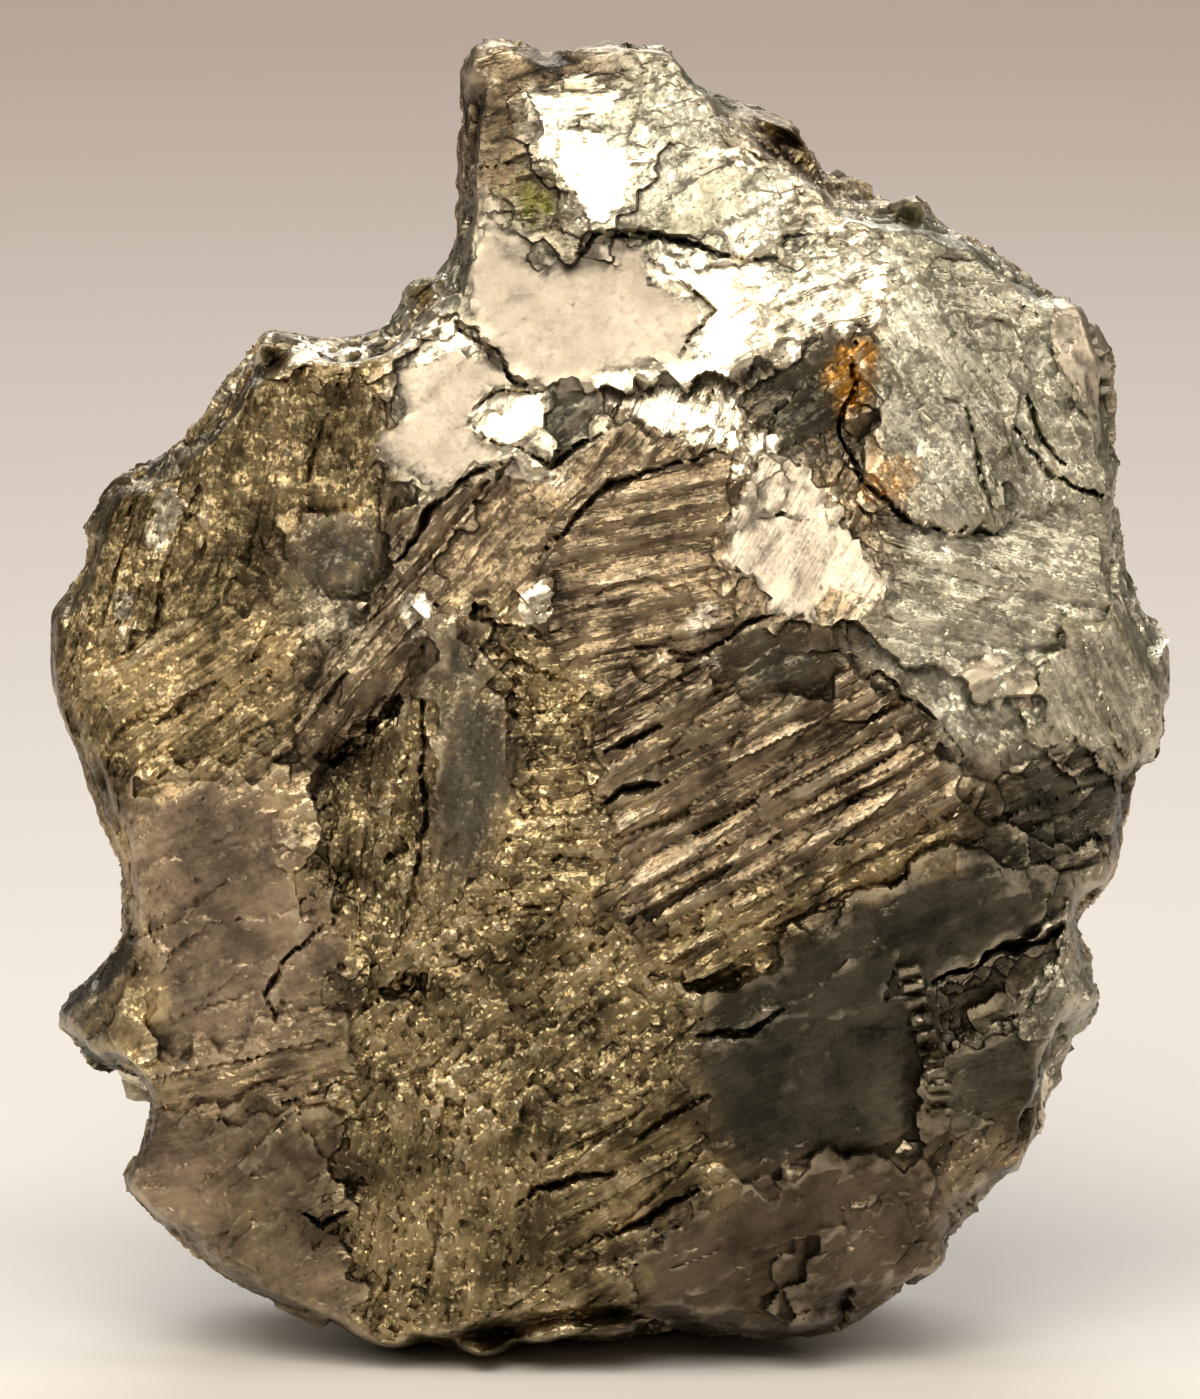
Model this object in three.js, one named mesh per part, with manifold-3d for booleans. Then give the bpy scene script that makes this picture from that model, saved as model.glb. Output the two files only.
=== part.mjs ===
// A lump of native bismuth, about as big as a small apple, broken on its cleavages.
// Places on it are given on its show face: u runs right, v runs up the face, w stands out of it, in mm.
// The back is given the same way, as seen from behind.
import * as THREE from 'three';
import { mergeVertices } from 'three/addons/utils/BufferGeometryUtils.js';
import Module from 'manifold-3d';

const wasm = await Module();
wasm.setup();

// Driving dimensions
const LEAN = THREE.MathUtils.degToRad(10); // the show face leans back from upright
const MIDDLE = { u: 0, v: 31 }; // centre of the show face
const REACH = { u: 27, v: 34 }; // half width and half height over which the faces curve away
const FRONT = { turn: 0, crown: 11, fall: { u: 5, v: 4.5 } }; // depth of the show face before the rim
const BACK = { turn: Math.PI, crown: 15, fall: { u: 6, v: 4 } }; // and of the hidden face behind it
const ROOT = 6; // how far a face's block reaches down into the body
const DRAFT = 0.45; // sideways spread of a block's flanks per mm of depth
const LAMELLA = { steep: 0.3, narrow: 0.65, wide: 1.35, low: 0.6 }; // share of its steep side, and its spread
const FAR = 60; // clear of the body on every side

// The rim, as seen square on to the show face
const RIM = [
  // tower
  [-7.25, 63.75], [-6.8, 64.85], [-5, 65.4], [-3.8, 64.95], [0.4, 65.3], [3.1, 64.7], [4.65, 63],
  [6.75, 62.1], [9.35, 60.8], [10.25, 59.55], [12.1, 57.65], [13, 57.1], [15.35, 57.6],
  // right shoulder and bulge
  [17, 55.9], [18.75, 55.4], [21.25, 53.2], [23.6, 52.05], [24.9, 49.05], [25.6, 43.4], [25.25, 41.8],
  [26.2, 36.8], [27.65, 34.8], [27.9, 32.8], [27.75, 30.3], [27.25, 29.3], [25.9, 28.8], [25.4, 25.8],
  [25, 23.3], [22.8, 21.35],
  // right foot
  [23.75, 19.55], [24.35, 17.3], [21.75, 14.05], [21.9, 11.05], [20.1, 8.55], [17, 6.2], [17.25, 5.3],
  [16.75, 4.05], [13.5, 2.55], [11, 1.05],
  // underside
  [3.8, 0.65], [3.2, 1], [0, 0.3], [-2.3, 0.55], [-3.3, 0.15], [-4.6, 0.3], [-5.35, -0.35],
  [-6.4, -0.55], [-9.2, 0.4], [-10.6, -0.1], [-12, 0.15],
  // left foot
  [-15.85, 2], [-18.45, 3.35], [-20, 4.35], [-24.2, 7.75], [-24.45, 8.7], [-22.9, 11], [-23.5, 10.7],
  [-23, 12.05], [-23.1, 13.05],
  // side spike
  [-23.6, 13.65], [-25.55, 14.25], [-27.4, 16.4], [-24, 20.2],
  // left flank
  [-24.6, 24.3], [-25.35, 25.9], [-26.6, 29.55], [-27.6, 32.05], [-27.9, 35.3], [-27.75, 36.8],
  [-26.25, 39.3], [-26.1, 40.55], [-24.6, 43.05], [-21.9, 44.55], [-19.75, 47.3],
  // left peak and notch
  [-17.9, 49.7], [-17.15, 50.9], [-15.5, 50.8], [-14.7, 50], [-10.75, 50.6], [-9.85, 53.05],
  [-9.35, 53.25], [-8.15, 52.85], [-7.85, 51.7],
];

// Faces of the show side. lift is how far a face stands out of the general curve, and tilt is its extra
// slope to the right and up. A ridged face has twin lamellae: their heading in degrees, spacing and height.
const FACES = [
  // tower
  { lift: 0.5, tilt: [0.1, -0.1], edge: [[-7.4, 64.3], [-6.7, 65.3], [-4.75, 65.7], [0.5, 65.5],
    [1.8, 64.3], [-0.5, 62.9], [-3.75, 62.7], [-4.2, 60.8], [-4.5, 59.05], [-3.25, 57.55], [-2.5, 56.05],
    [-1.6, 54.55], [-3.25, 54.1], [-5.5, 56.55], [-7.4, 57.55]] },
  { lift: 1.1, tilt: [0, -0.16], edge: [[-4.15, 62.5], [-2.5, 63], [1.1, 62.6], [1.1, 60.8], [1.6, 59.8],
    [2.5, 58.8], [1.75, 57.55], [0.25, 56], [-0.6, 55.8], [-1.75, 56.8], [-2.9, 59.05], [-3.25, 60.3],
    [-4.1, 61.05]] },
  { lift: 0.7, tilt: [-0.1, -0.1], edge: [[1.8, 64.8], [3.1, 65.1], [4.5, 63.7], [6.6, 62], [5.6, 60.3],
    [4, 59.8], [1.5, 60.2], [0.6, 61.7], [1.5, 63.1]] },
  { lift: 0.2, tilt: [-0.3, -0.25], edge: [[4.75, 63], [8, 62], [9.8, 60.8], [12.5, 57.5], [11.25, 56.5],
    [9.5, 58.2], [7.5, 59.2], [5.6, 60.2]] },
  { lift: 1, tilt: [0.03, -0.05], edge: [[2, 58.7], [4.5, 59.8], [7.1, 59.3], [9.1, 57.8], [9.5, 56.55],
    [8, 55.2], [6.25, 54.5], [4, 55], [0.9, 56]] },
  { lift: 0.6, tilt: [-0.1, -0.16], edge: [[7.3, 59.3], [9.5, 58.3], [11.3, 56.8], [13.1, 57],
    [13.1, 54.8], [11, 54], [8.5, 53.9], [8, 55.2], [9.5, 56.55]] },
  { lift: 0.7, tilt: [0.02, -0.14], edge: [[-7.4, 57.05], [-5.5, 56.4], [-3.4, 54.1], [-1.4, 54.2],
    [1.5, 54.8], [4.5, 54.5], [6.75, 52.8], [7.5, 50.3], [6.25, 48.5], [1.5, 48], [-2.5, 47.3],
    [-4.5, 47.5], [-5.5, 48.7], [-7.1, 51], [-7.6, 54.3]] },
  { lift: 1.1, tilt: [0, -0.2], edge: [[4.2, 54.5], [7.5, 53.8], [11, 54], [14.6, 53.4], [14.9, 52.3],
    [13, 51.05], [11.5, 50.8], [9.5, 49.8], [8, 49.2], [6.9, 50.3], [5.9, 52.5]] },
  { lift: 0.3, tilt: [0, -0.2], edge: [[-1.1, 47.6], [1.5, 48], [6.3, 48.4], [6.7, 46.8], [6.4, 45.3],
    [5.5, 44.1], [4, 44.5], [2, 45.3], [0, 46.7]] },
  // notch and left peak
  { lift: 0.6, tilt: [0.03, -0.16], edge: [[-10.5, 50.55], [-9.3, 52.3], [-8, 52.05], [-7, 50.9],
    [-5.5, 48.6], [-4.5, 47.5], [-6.7, 46.7], [-6.6, 45.6], [-5.2, 44.5], [-7, 43.7], [-8.5, 42.8],
    [-10.25, 43.2], [-11.5, 44.2], [-11.25, 46.3], [-10.6, 48.3]] },
  { lift: 1.2, tilt: [0.05, -0.12], edge: [[-6.75, 46.8], [-4.75, 47.7], [-3, 47.45], [-2.9, 45.8],
    [-3.1, 43.7], [-4.5, 44.45], [-6.6, 45.65]] },
  { lift: 0.5, tilt: [-0.05, 0.1], edge: [[-3, 47.55], [-1.5, 47.75], [0.2, 46.7], [-0.5, 45.95],
    [-2.5, 44.2], [-3.1, 43.9]] },
  { lift: 1, tilt: [0, -0.35], edge: [[-18.2, 49.3], [-17.2, 51.2], [-16, 51.3], [-14.7, 50.3],
    [-11.7, 50.5], [-10.9, 50], [-11.5, 49.1], [-14, 48.8], [-17.7, 48.6]] },
  { lift: 1.6, tilt: [-0.15, -0.2], edge: [[-10.7, 50.1], [-10.1, 51.8], [-9.9, 53.3], [-9.25, 53.5],
    [-8.05, 53], [-7.75, 51.4], [-8.9, 50.4], [-10.25, 49.6]] },
  // left flank
  { lift: 0.6, tilt: [0.02, 0.05], edge: [[-18.9, 48.5], [-11.2, 49], [-11.5, 44.1], [-10.4, 43.1],
    [-11.1, 41.2], [-13.5, 42], [-16, 41], [-16.3, 37.8], [-19, 39.3], [-21.7, 44.2], [-19.9, 47.2]] },
  { lift: 0.8, tilt: [-0.06, 0.1], edge: [[-16, 41], [-13.5, 42], [-11.2, 41.2], [-10.8, 39.3],
    [-11.7, 37], [-14.5, 37.2], [-16.2, 37.8]] },
  { lift: 0.3, tilt: [0.12, -0.02], ridges: { heading: 70, spacing: 2.2, height: 0.5 },
    edge: [[-25.5, 42.3], [-21.7, 44.2], [-19, 39.3], [-16.3, 37.7], [-18.9, 36.4], [-22, 36.7],
    [-24.5, 35.2], [-28, 34.5], [-28.1, 36.8], [-26.4, 40.05]] },
  { lift: 0.7, tilt: [0.05, 0.04], ridges: { heading: 36, spacing: 1.8, height: 0.5 },
    edge: [[-24.5, 35.2], [-18.9, 37.2], [-16, 37.3], [-13.4, 35.3], [-15.5, 32.2], [-17, 29.2],
    [-21, 27], [-23, 28.2], [-25.1, 31.3], [-25.9, 33.3]] },
  { lift: 1, tilt: [0, -0.08], edge: [[-16, 37.2], [-13.25, 37], [-12.4, 35.7], [-14.4, 34], [-16, 33.2],
    [-16.3, 35.3]] },
  { lift: 0.2, tilt: [0.2, 0.05], edge: [[-28.2, 34.3], [-25.9, 33.3], [-25.1, 31.3], [-23, 28.2],
    [-24.6, 24.8], [-26, 27.7], [-27.2, 30.8]] },
  // blades that run down to the left from the middle
  { lift: 1.3, tilt: [-0.15, 0.1], ridges: { heading: 52, spacing: 1.7, height: 0.6 },
    edge: [[-5.2, 44.2], [-7, 43.6], [-9, 41.8], [-11, 38.7], [-12.5, 35.7], [-15.5, 32], [-14.9, 30],
    [-12.9, 30.7], [-10.4, 33.1], [-9.4, 36.2], [-8.2, 39.3], [-6.4, 41.3]] },
  { lift: 0.4, tilt: [0.1, 0], edge: [[-14, 29], [-10.4, 31.2], [-9.3, 34.8], [-9, 29.3], [-8.9, 22.3],
    [-10.5, 19.7], [-13.7, 23.1], [-14.9, 27]] },
  { lift: 0.8, tilt: [0.06, 0.1], edge: [[-24.9, 28.3], [-23, 28.2], [-20.7, 29.7], [-16.9, 28.7],
    [-16, 25.7], [-15.4, 22.2], [-13.9, 20.7], [-15.5, 17.2], [-18.9, 15.3], [-22.5, 14.7], [-22.5, 19.2],
    [-24.1, 20.8], [-24.6, 24.2]] },
  { lift: 1.6, tilt: [-0.1, -0.2], edge: [[-16.25, 27.7], [-15, 28.8], [-14.2, 27.2], [-15.4, 24.8],
    [-16.3, 25.2]] },
  // middle wedge and sparkling band
  { lift: 1.1, tilt: [-0.12, 0.06], edge: [[-9, 35.2], [-7.9, 37.2], [-6.4, 36.2], [-5.4, 33.2],
    [-4.4, 29.2], [-4.9, 25.7], [-6.9, 24.7], [-8.5, 22.2], [-9, 27.2]] },
  { lift: 1.9, tilt: [0, -0.25], edge: [[-10.4, 37.5], [-8.9, 37.7], [-8.85, 35.65], [-10.3, 35.65]] },
  { lift: 1.7, tilt: [0, -0.25], edge: [[-4.3, 37.8], [-2.9, 37.95], [-2.85, 36.3], [-4, 36]] },
  { lift: 0.5, tilt: [0.1, -0.1], edge: [[-7, 37.2], [-5.4, 36.2], [-3.9, 34.7], [-2.5, 32.2],
    [-0.9, 27.7], [-0.4, 24.7], [-2.4, 22.2], [-4.4, 20.7], [-6, 21.2], [-4.9, 25.2], [-4.4, 29.2],
    [-5.4, 33.2]] },
  // plates above the middle
  { lift: 1, tilt: [0.05, -0.02], edge: [[-5.2, 44.1], [-3.1, 43.6], [-0.4, 45.8], [1.5, 45.2],
    [5.3, 44.1], [1.5, 43.6], [-0.5, 42.6], [-2.4, 40.7], [-3.4, 38.7], [-5.4, 37.2], [-7.9, 37],
    [-8.2, 39.3], [-6.4, 41.3]] },
  { lift: 0.8, tilt: [0.02, 0.05], ridges: { heading: 12, spacing: 1.9, height: 0.5 },
    edge: [[-3.2, 39.2], [-1.4, 42], [1.6, 43.5], [5.6, 44.1], [6.3, 43.2], [5.8, 40.2], [5.6, 37.2],
    [3.6, 35.2], [0.6, 34.7], [-1.9, 35.2], [-3.2, 37.2]] },
  { lift: 1, tilt: [0.04, -0.18], edge: [[6.5, 42.8], [8.25, 44.1], [9.5, 43.95], [11, 42.8], [12, 40.3],
    [13.6, 38.3], [12.9, 37.2], [11, 37.2], [10.25, 36.2], [8.5, 36.7], [7, 37.7], [5.9, 38], [5.6, 39.8],
    [6.2, 41.3]] },
  { lift: 0.4, tilt: [0.1, 0.12], edge: [[6.3, 48.1], [8, 49.1], [11.5, 50.7], [12.6, 50.3], [12, 48.2],
    [11.1, 45.7], [9.5, 44.7], [8, 45.7], [6.8, 46]] },
  // right shoulder
  { lift: 1.7, tilt: [-0.04, -0.06], ridges: { heading: -58, spacing: 2.4, height: 0.4 },
    edge: [[12.9, 50.5], [14.8, 52.3], [17.5, 50.8], [19.6, 49.2], [20.1, 46.3], [19.1, 41.7], [17.6, 41],
    [16, 41.7], [14.8, 43.2], [14.3, 46.3], [13.5, 49.3]] },
  { lift: 0.8, tilt: [0, -0.1], edge: [[13.1, 57.1], [15.5, 57.9], [16.1, 56.8], [16.6, 54.3],
    [15.6, 52.8], [14.8, 52.3], [13.1, 54.7]] },
  { lift: 0.5, tilt: [-0.15, -0.1], edge: [[16.5, 56.2], [19, 55.6], [22.7, 52.8], [21.6, 50.7],
    [19.6, 50.2], [17.1, 52.2], [16, 53.7]] },
  { lift: 1.1, tilt: [-0.15, -0.05], edge: [[22, 52.4], [24, 52], [25.1, 49.3], [25.7, 46.7],
    [23.6, 47.2], [22.1, 48.7], [21.5, 50.7]] },
  { lift: 0.8, tilt: [-0.05, 0], edge: [[17.5, 50.7], [21.6, 50.7], [22.2, 48.2], [23.6, 46.8],
    [25.8, 46.2], [25.8, 43.2], [22.6, 42.2], [19.6, 41.7], [20.1, 46.2], [19.6, 49.2]] },
  { lift: 0.9, tilt: [-0.05, -0.03], edge: [[14.5, 40.2], [19.1, 40.7], [22.6, 42.1], [25.7, 41.7],
    [26.4, 37.8], [22.6, 36.2], [22, 34.2], [17.6, 34.1], [14.6, 34.7], [13.5, 37.1]] },
  { lift: 1.2, tilt: [-0.2, 0.02], edge: [[22, 35.2], [26.5, 37], [28.3, 34.8], [28.5, 30.2],
    [26.1, 28.5], [24, 29.7], [21.5, 30.2], [21.3, 33.2]] },
  { lift: 1.5, tilt: [0, -0.15], edge: [[17.25, 33.2], [19, 34.2], [19.8, 34.9], [21.3, 34], [21.2, 32.7],
    [19.9, 32], [17.6, 32.2]] },
  { lift: 0.7, tilt: [0.05, 0.02], edge: [[11.1, 34.5], [14.6, 34.6], [17.5, 34.1], [17.6, 32.1],
    [21.1, 32.3], [21.5, 30.1], [17.6, 28.4], [14.6, 32.3], [12, 34.3]] },
  { lift: 1, tilt: [0, 0.12], edge: [[5.4, 34.5], [7.5, 33.95], [9.5, 34.7], [11, 34.5], [11.1, 33.2],
    [8.6, 32.45], [6.3, 32.7]] },
  // ridged block right of the middle
  { lift: 1.1, tilt: [0, 0.08], ridges: { heading: 29, spacing: 2, height: 0.9 }, edge: [[-0.4, 29.2],
    [1.5, 32.2], [4.6, 34.2], [6.3, 32.7], [11.1, 32.8], [12.1, 34.2], [14.6, 32.3], [17.6, 29.2],
    [17.6, 27.2], [14.6, 25.7], [9.6, 23.7], [4.6, 21.7], [1.5, 21.2], [0.5, 24.2]] },
  { lift: 0.7, tilt: [0, 0.14], ridges: { heading: 28, spacing: 2.3, height: 0.8 }, edge: [[1.5, 21.2],
    [4.6, 21.7], [9.6, 23.7], [14.6, 25.7], [19.1, 27.8], [19.6, 27.2], [16.6, 24.7], [12.1, 22.7],
    [7.6, 20.2], [4.1, 18.2], [1.5, 19.2]] },
  // right foot
  { lift: -0.4, tilt: [-0.12, 0.2], ridges: { heading: 20, spacing: 2.2, height: 0.5 },
    edge: [[17.5, 27.2], [21.6, 30], [26, 28.6], [25.7, 24.7], [22.6, 24.2], [19.6, 25.2]] },
  { lift: 0.6, tilt: [-0.1, 0], edge: [[22.25, 23.2], [23.5, 24.7], [25.5, 24.8], [25.5, 23.1], [24, 22],
    [22.8, 21.4]] },
  { lift: 0.8, tilt: [-0.06, 0.12], edge: [[7.6, 19.2], [12.1, 22.2], [17.1, 24.7], [20.1, 25.1],
    [22.6, 23.7], [22.8, 21.5], [19.5, 19.4], [16, 18.3], [16.6, 15.2], [15.6, 11.7], [14.6, 9.8],
    [10.6, 10], [7.6, 8.2], [5.6, 9.7], [4.1, 14.2], [4.6, 16.7]] },
  { lift: 1.2, tilt: [0, -0.05], ridges: { heading: 14, spacing: 2, height: 0.4 }, edge: [[14.15, 19.2],
    [15.3, 19.2], [16.7, 14.7], [16.7, 12.3], [17.5, 11.5], [15.8, 11.2], [15.4, 13.2], [14.7, 15.2]] },
  { lift: 0.9, tilt: [-0.15, -0.1], edge: [[22.8, 21.1], [24.3, 19.3], [24.7, 17.3], [22.6, 14.8],
    [20.6, 15.7], [21.6, 17.8]] },
  { lift: 0.8, tilt: [-0.1, 0.12], edge: [[16.8, 14.2], [20.1, 15.5], [22, 14.2], [22.1, 12.2],
    [18.6, 11.5], [17.1, 11.3]] },
  { lift: 0.4, tilt: [-0.12, 0.1], edge: [[16.6, 9.7], [22.1, 12.3], [22.1, 10.7], [19, 7.2], [16.8, 6.4],
    [16, 8.2]] },
  { lift: 0.5, tilt: [-0.04, 0.2], edge: [[2.1, 5.7], [7.6, 8], [10.6, 9.8], [14.6, 9.5], [16, 8.2],
    [16.1, 6.5], [12.6, 7.7], [9.6, 4.2], [8.1, 0.3], [4, 0.2], [1.5, 0.3], [0.6, 3.2]] },
  { lift: 0.9, tilt: [-0.08, 0.14], edge: [[12.6, 7.7], [16.1, 6.5], [17.4, 5.3], [16.9, 3.7],
    [13.7, 2.2], [11.1, 0.7], [8.1, 0.3], [8.6, 3.2], [10.1, 5.2]] },
  // foot of the middle
  { lift: 0.6, tilt: [0.02, 0.02], edge: [[-8.9, 22.2], [-5.4, 20.7], [-2.4, 22.2], [1.5, 19.2],
    [4.1, 16.7], [4.1, 14.2], [1.5, 13.2], [-2.4, 12.2], [-7.9, 13.2], [-11.4, 14.2], [-13.4, 17.2],
    [-10.4, 19.2]] },
  { lift: 0.6, tilt: [0.05, 0.05], edge: [[-13.9, 10.7], [-7.9, 12.7], [-2.4, 11.7], [-2.4, 7.2],
    [-4.4, 3.7], [-6.9, -0.2], [-10.7, -0.5], [-11.6, 4.2], [-11.9, 7.2]] },
  { lift: 0.9, tilt: [-0.02, 0.08], ridges: { heading: 28, spacing: 2.8, height: 0.6 },
    edge: [[-2.4, 11.7], [1.5, 12.7], [4.6, 13.2], [5.6, 9.7], [4.6, 7.7], [1.5, 5.7], [-2.4, 4.7],
    [-3.4, 7.2]] },
  { lift: 0.7, tilt: [0.02, 0.1], edge: [[-6.9, -0.3], [-4.4, 3.7], [-0.4, 4.7], [1.5, 2.3], [1.5, 0.2],
    [-2.5, 0.05], [-5, -0.7]] },
  // left foot
  { lift: 0.6, tilt: [0.05, 0.12], edge: [[-23.2, 14.2], [-18.4, 15.2], [-13.9, 17.2], [-13.4, 15.2],
    [-15.4, 12.7], [-19.4, 11.7], [-23.3, 11.4]] },
  { lift: 1.2, tilt: [0.1, 0.08], edge: [[-20.4, 11.7], [-15.9, 12.7], [-13.9, 10.7], [-13.9, 7.7],
    [-14.9, 7.2], [-16.4, 5.2], [-17.7, 3.1], [-19.2, 7.2]] },
  { lift: 0.6, tilt: [0.18, 0.02], edge: [[-24.6, 8.7], [-23.1, 11.4], [-19.7, 11.7], [-18.9, 9.7],
    [-20.4, 8.9], [-23.5, 7.5]] },
  { lift: 0.3, tilt: [0.15, 0.2], edge: [[-23.5, 7.5], [-20.9, 7.8], [-18.9, 5.2], [-17.9, 2.9],
    [-20.2, 3.9]] },
  { lift: 0.6, tilt: [0.05, 0.25], edge: [[-17.4, 2.5], [-16, 4], [-13.9, 4.3], [-12.9, 2.7],
    [-13.2, 0.6], [-15.7, 1.6]] },
  { lift: 0.3, tilt: [0.25, 0.1], edge: [[-27.7, 16.4], [-25.75, 18.9], [-24, 20.5], [-22.9, 19.7],
    [-24.1, 18], [-24.9, 16.2], [-24.5, 14.2], [-25.55, 14], [-26.7, 14.9]] },
  { lift: 1.1, tilt: [-0.25, -0.2], edge: [[-24.9, 16.2], [-24.1, 18], [-22.9, 19.7], [-22.6, 17.3],
    [-22.7, 14.2], [-23.6, 13.5], [-24.5, 14.1]] },
];

// Cracks and gaping ledges of the show side: their lines, width and depth
const CRACKS = [
  { width: 0.7, depth: 1.2, line: [[-1.75, 54.4], [-0.5, 55.4], [1.5, 55.5], [4, 54.8], [6.75, 54.1]] },
  { width: 0.8, depth: 1.6, line: [[-5.2, 44.2], [-7, 43.4], [-9, 41.55], [-10.7, 39]] },
  { width: 0.6, depth: 1.2, line: [[-3.5, 39.2], [-2.5, 40.5], [-0.5, 42.5], [1.6, 43.6], [4.1, 44.15],
    [5.6, 45]] },
  { width: 0.5, depth: 1, line: [[1.5, 34.8], [4.5, 34.7], [6.6, 36.2], [8.1, 36.5]] },
  { width: 1, depth: 2.2, line: [[12.4, 50.1], [11.9, 47.7], [11.3, 45.7], [12.6, 43], [14.6, 41.2],
    [17, 40.6], [19, 41.2]] },
  { width: 0.8, depth: 1.4, line: [[20.6, 47.5], [21.2, 45.5], [22.4, 43.8]] },
  { width: 0.5, depth: 1.2, line: [[19.9, 45.8], [21.5, 43.8], [23.1, 42.7], [24.5, 42.4],
    [25.7, 42.8]] },
  { width: 0.5, depth: 1.2, line: [[-9.25, 32.3], [-9.3, 29.3], [-9.2, 26.3], [-9.5, 23.7]] },
  { width: 0.5, depth: 1.1, line: [[-14.2, 21.2], [-15.9, 19.6], [-17.1, 17.8], [-16.7, 16.2]] },
  { width: 0.6, depth: 1, line: [[4.4, 15.9], [6.8, 15.8], [8.8, 17.1]] },
  { width: 0.6, depth: 1.1, line: [[-4.9, 7.2], [-3.4, 8.2], [-1.9, 8.6], [0.6, 8.7]] },
  { width: 0.7, depth: 1.2, line: [[-0.4, 5.7], [2.1, 6.7], [4.7, 8.5]] },
  { width: 0.9, depth: 1.8, line: [[16, 18.3], [19.5, 19.9], [21.5, 20.4], [23.3, 21.6]] },
];

// Hollows of the show side: their outlines and depth
const HOLLOWS = [
  { depth: 2.6, edge: [[-14.9, 29.4], [-10.4, 32.8], [-10.2, 31.5], [-13.8, 28.8]] },
  { depth: 2.2, edge: [[-0.3, 30.2], [2, 31.5], [2.6, 30.8], [0.3, 29.4]] },
  { depth: 2.4, edge: [[-0.6, 27.3], [0.6, 28.4], [2.7, 28.2], [2, 27.3], [0, 26.7]] },
  { depth: 1.8, edge: [[-11.3, 24.2], [-10.2, 25.7], [-9.7, 25.4], [-10.6, 24]] },
  { depth: 2.2, edge: [[-11.9, 17.9], [-10.5, 18.5], [-8.9, 19.2], [-9.3, 17.4], [-10.9, 17.3]] },
  { depth: 2.4, edge: [[-15.1, 7], [-12, 7.4], [-11.9, 5.5], [-14.7, 5.3]] },
  { depth: 1.5, edge: [[16, 18.1], [19.5, 19.4], [22.6, 21.1], [22.4, 18], [20.1, 15.8], [17, 14.4],
    [16.5, 15.3]] },
];

// Faces of the hidden side, in the same terms
const BACK_FACES = [
  { lift: 0.8, tilt: [0.05, -0.12], edge: [[-12, 58], [-4, 66], [8, 67], [9, 47], [1, 44], [-9, 49]] },
  { lift: 0.9, tilt: [0.1, -0.1], ridges: { heading: 118, spacing: 3.6, height: 0.7 },
    edge: [[-30, 46], [-22, 57], [-11, 60], [-8, 48], [-13, 36], [-27, 33]] },
  { lift: 2, tilt: [-0.1, 0.03],
    edge: [[-13, 46], [2, 47], [12, 52], [17, 44], [7, 33], [-4, 24], [-10, 30]] },
  { lift: 0.4, tilt: [-0.2, -0.05], ridges: { heading: 62, spacing: 3.2, height: 0.7 },
    edge: [[10, 52], [20, 52], [27, 42], [29, 31], [19, 29], [14, 38]] },
  { lift: 1.5, tilt: [-0.06, 0.1], edge: [[7, 34], [19, 30], [30, 32], [28, 19], [17, 15], [6, 22]] },
  { lift: 1.6, tilt: [0.12, 0.04], edge: [[-30, 34], [-13, 36], [-9, 29], [-12, 17], [-26, 14], [-30, 24]] },
  { lift: 0.7, tilt: [0.02, 0.14], ridges: { heading: -28, spacing: 3, height: 0.9 },
    edge: [[-11, 29], [-3, 24], [6, 22], [14, 15], [12, 4], [-2, 6], [-12, 14]] },
  { lift: 0.9, tilt: [0.15, 0.18], edge: [[-26, 15], [-12, 18], [-8, 8], [-13, -1], [-24, 5]] },
  { lift: 1.2, tilt: [-0.12, 0.16], edge: [[13, 17], [26, 18], [24, 6], [16, -1], [9, 3]] },
  { lift: 0.2, tilt: [0, 0.1], edge: [[-13, 8], [-2, 10], [12, 6], [14, -3], [-14, -3]] },
  { lift: 3, tilt: [0.1, 0.15], edge: [[-6, 40], [1, 42], [3, 36], [-3, 33]] },
  { lift: 2.8, tilt: [-0.1, 0.2], edge: [[8, 27], [15, 29], [17, 23], [11, 20]] },
  { lift: 2.6, tilt: [0.2, -0.1], edge: [[-21, 28], [-14, 30], [-13, 23], [-19, 21]] },
  { lift: 2.2, tilt: [0.05, 0.2], edge: [[-5, 18], [2, 20], [4, 13], [-3, 12]] },
];
const BACK_CRACKS = [
  { width: 0.7, depth: 1.6, line: [[-8, 50], [-12, 42], [-11, 33], [-16, 26]] },
  { width: 0.6, depth: 1.4, line: [[13, 48], [10, 40], [14, 34], [12, 26]] },
  { width: 0.8, depth: 1.6, line: [[-8, 20], [-2, 15], [6, 14], [13, 8]] },
];

// Skins over sections of the rim parallel to the show face, from the hindmost to the foremost. Each takes
// every nth corner of the rim. A section has its place, its size against the rim, the height it shrinks
// towards, and how often its corners are worn down.
const PLATE = { // the rim itself
  nth: 1,
  sections: [{ w: -5, size: 0.955, towards: 4, wear: 4 }, { w: 2, size: 1, towards: 4, wear: 0 }],
};
const BODY = { // the bulk behind it
  nth: 2,
  sections: [
    { w: -14, size: 0.74, towards: 4, wear: 7 },
    { w: -7, size: 0.94, towards: 4, wear: 4 },
    { w: 0, size: 0.97, towards: 10, wear: 3 },
  ],
};
const FRONT_FLANKS = { // where the show face's blocks are broken off
  nth: 1,
  sections: [
    { w: -2, size: 1, towards: 4, wear: 0 },
    { w: 3, size: 1, towards: 4, wear: 0 },
    { w: 16, size: 0.82, towards: MIDDLE.v, wear: 2 },
  ],
};
const BACK_FLANKS = { // where the hidden face's blocks are broken off
  nth: 2,
  sections: [{ w: -20, size: 0.9, towards: 4, wear: 6 }, { w: 1, size: 0.975, towards: 10, wear: 3 }],
};
const DOME = { u: 25.5, v: 31.5, w: 8.8, sides: 18, rows: 10 }; // half axes of the swell under the show face

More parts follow.
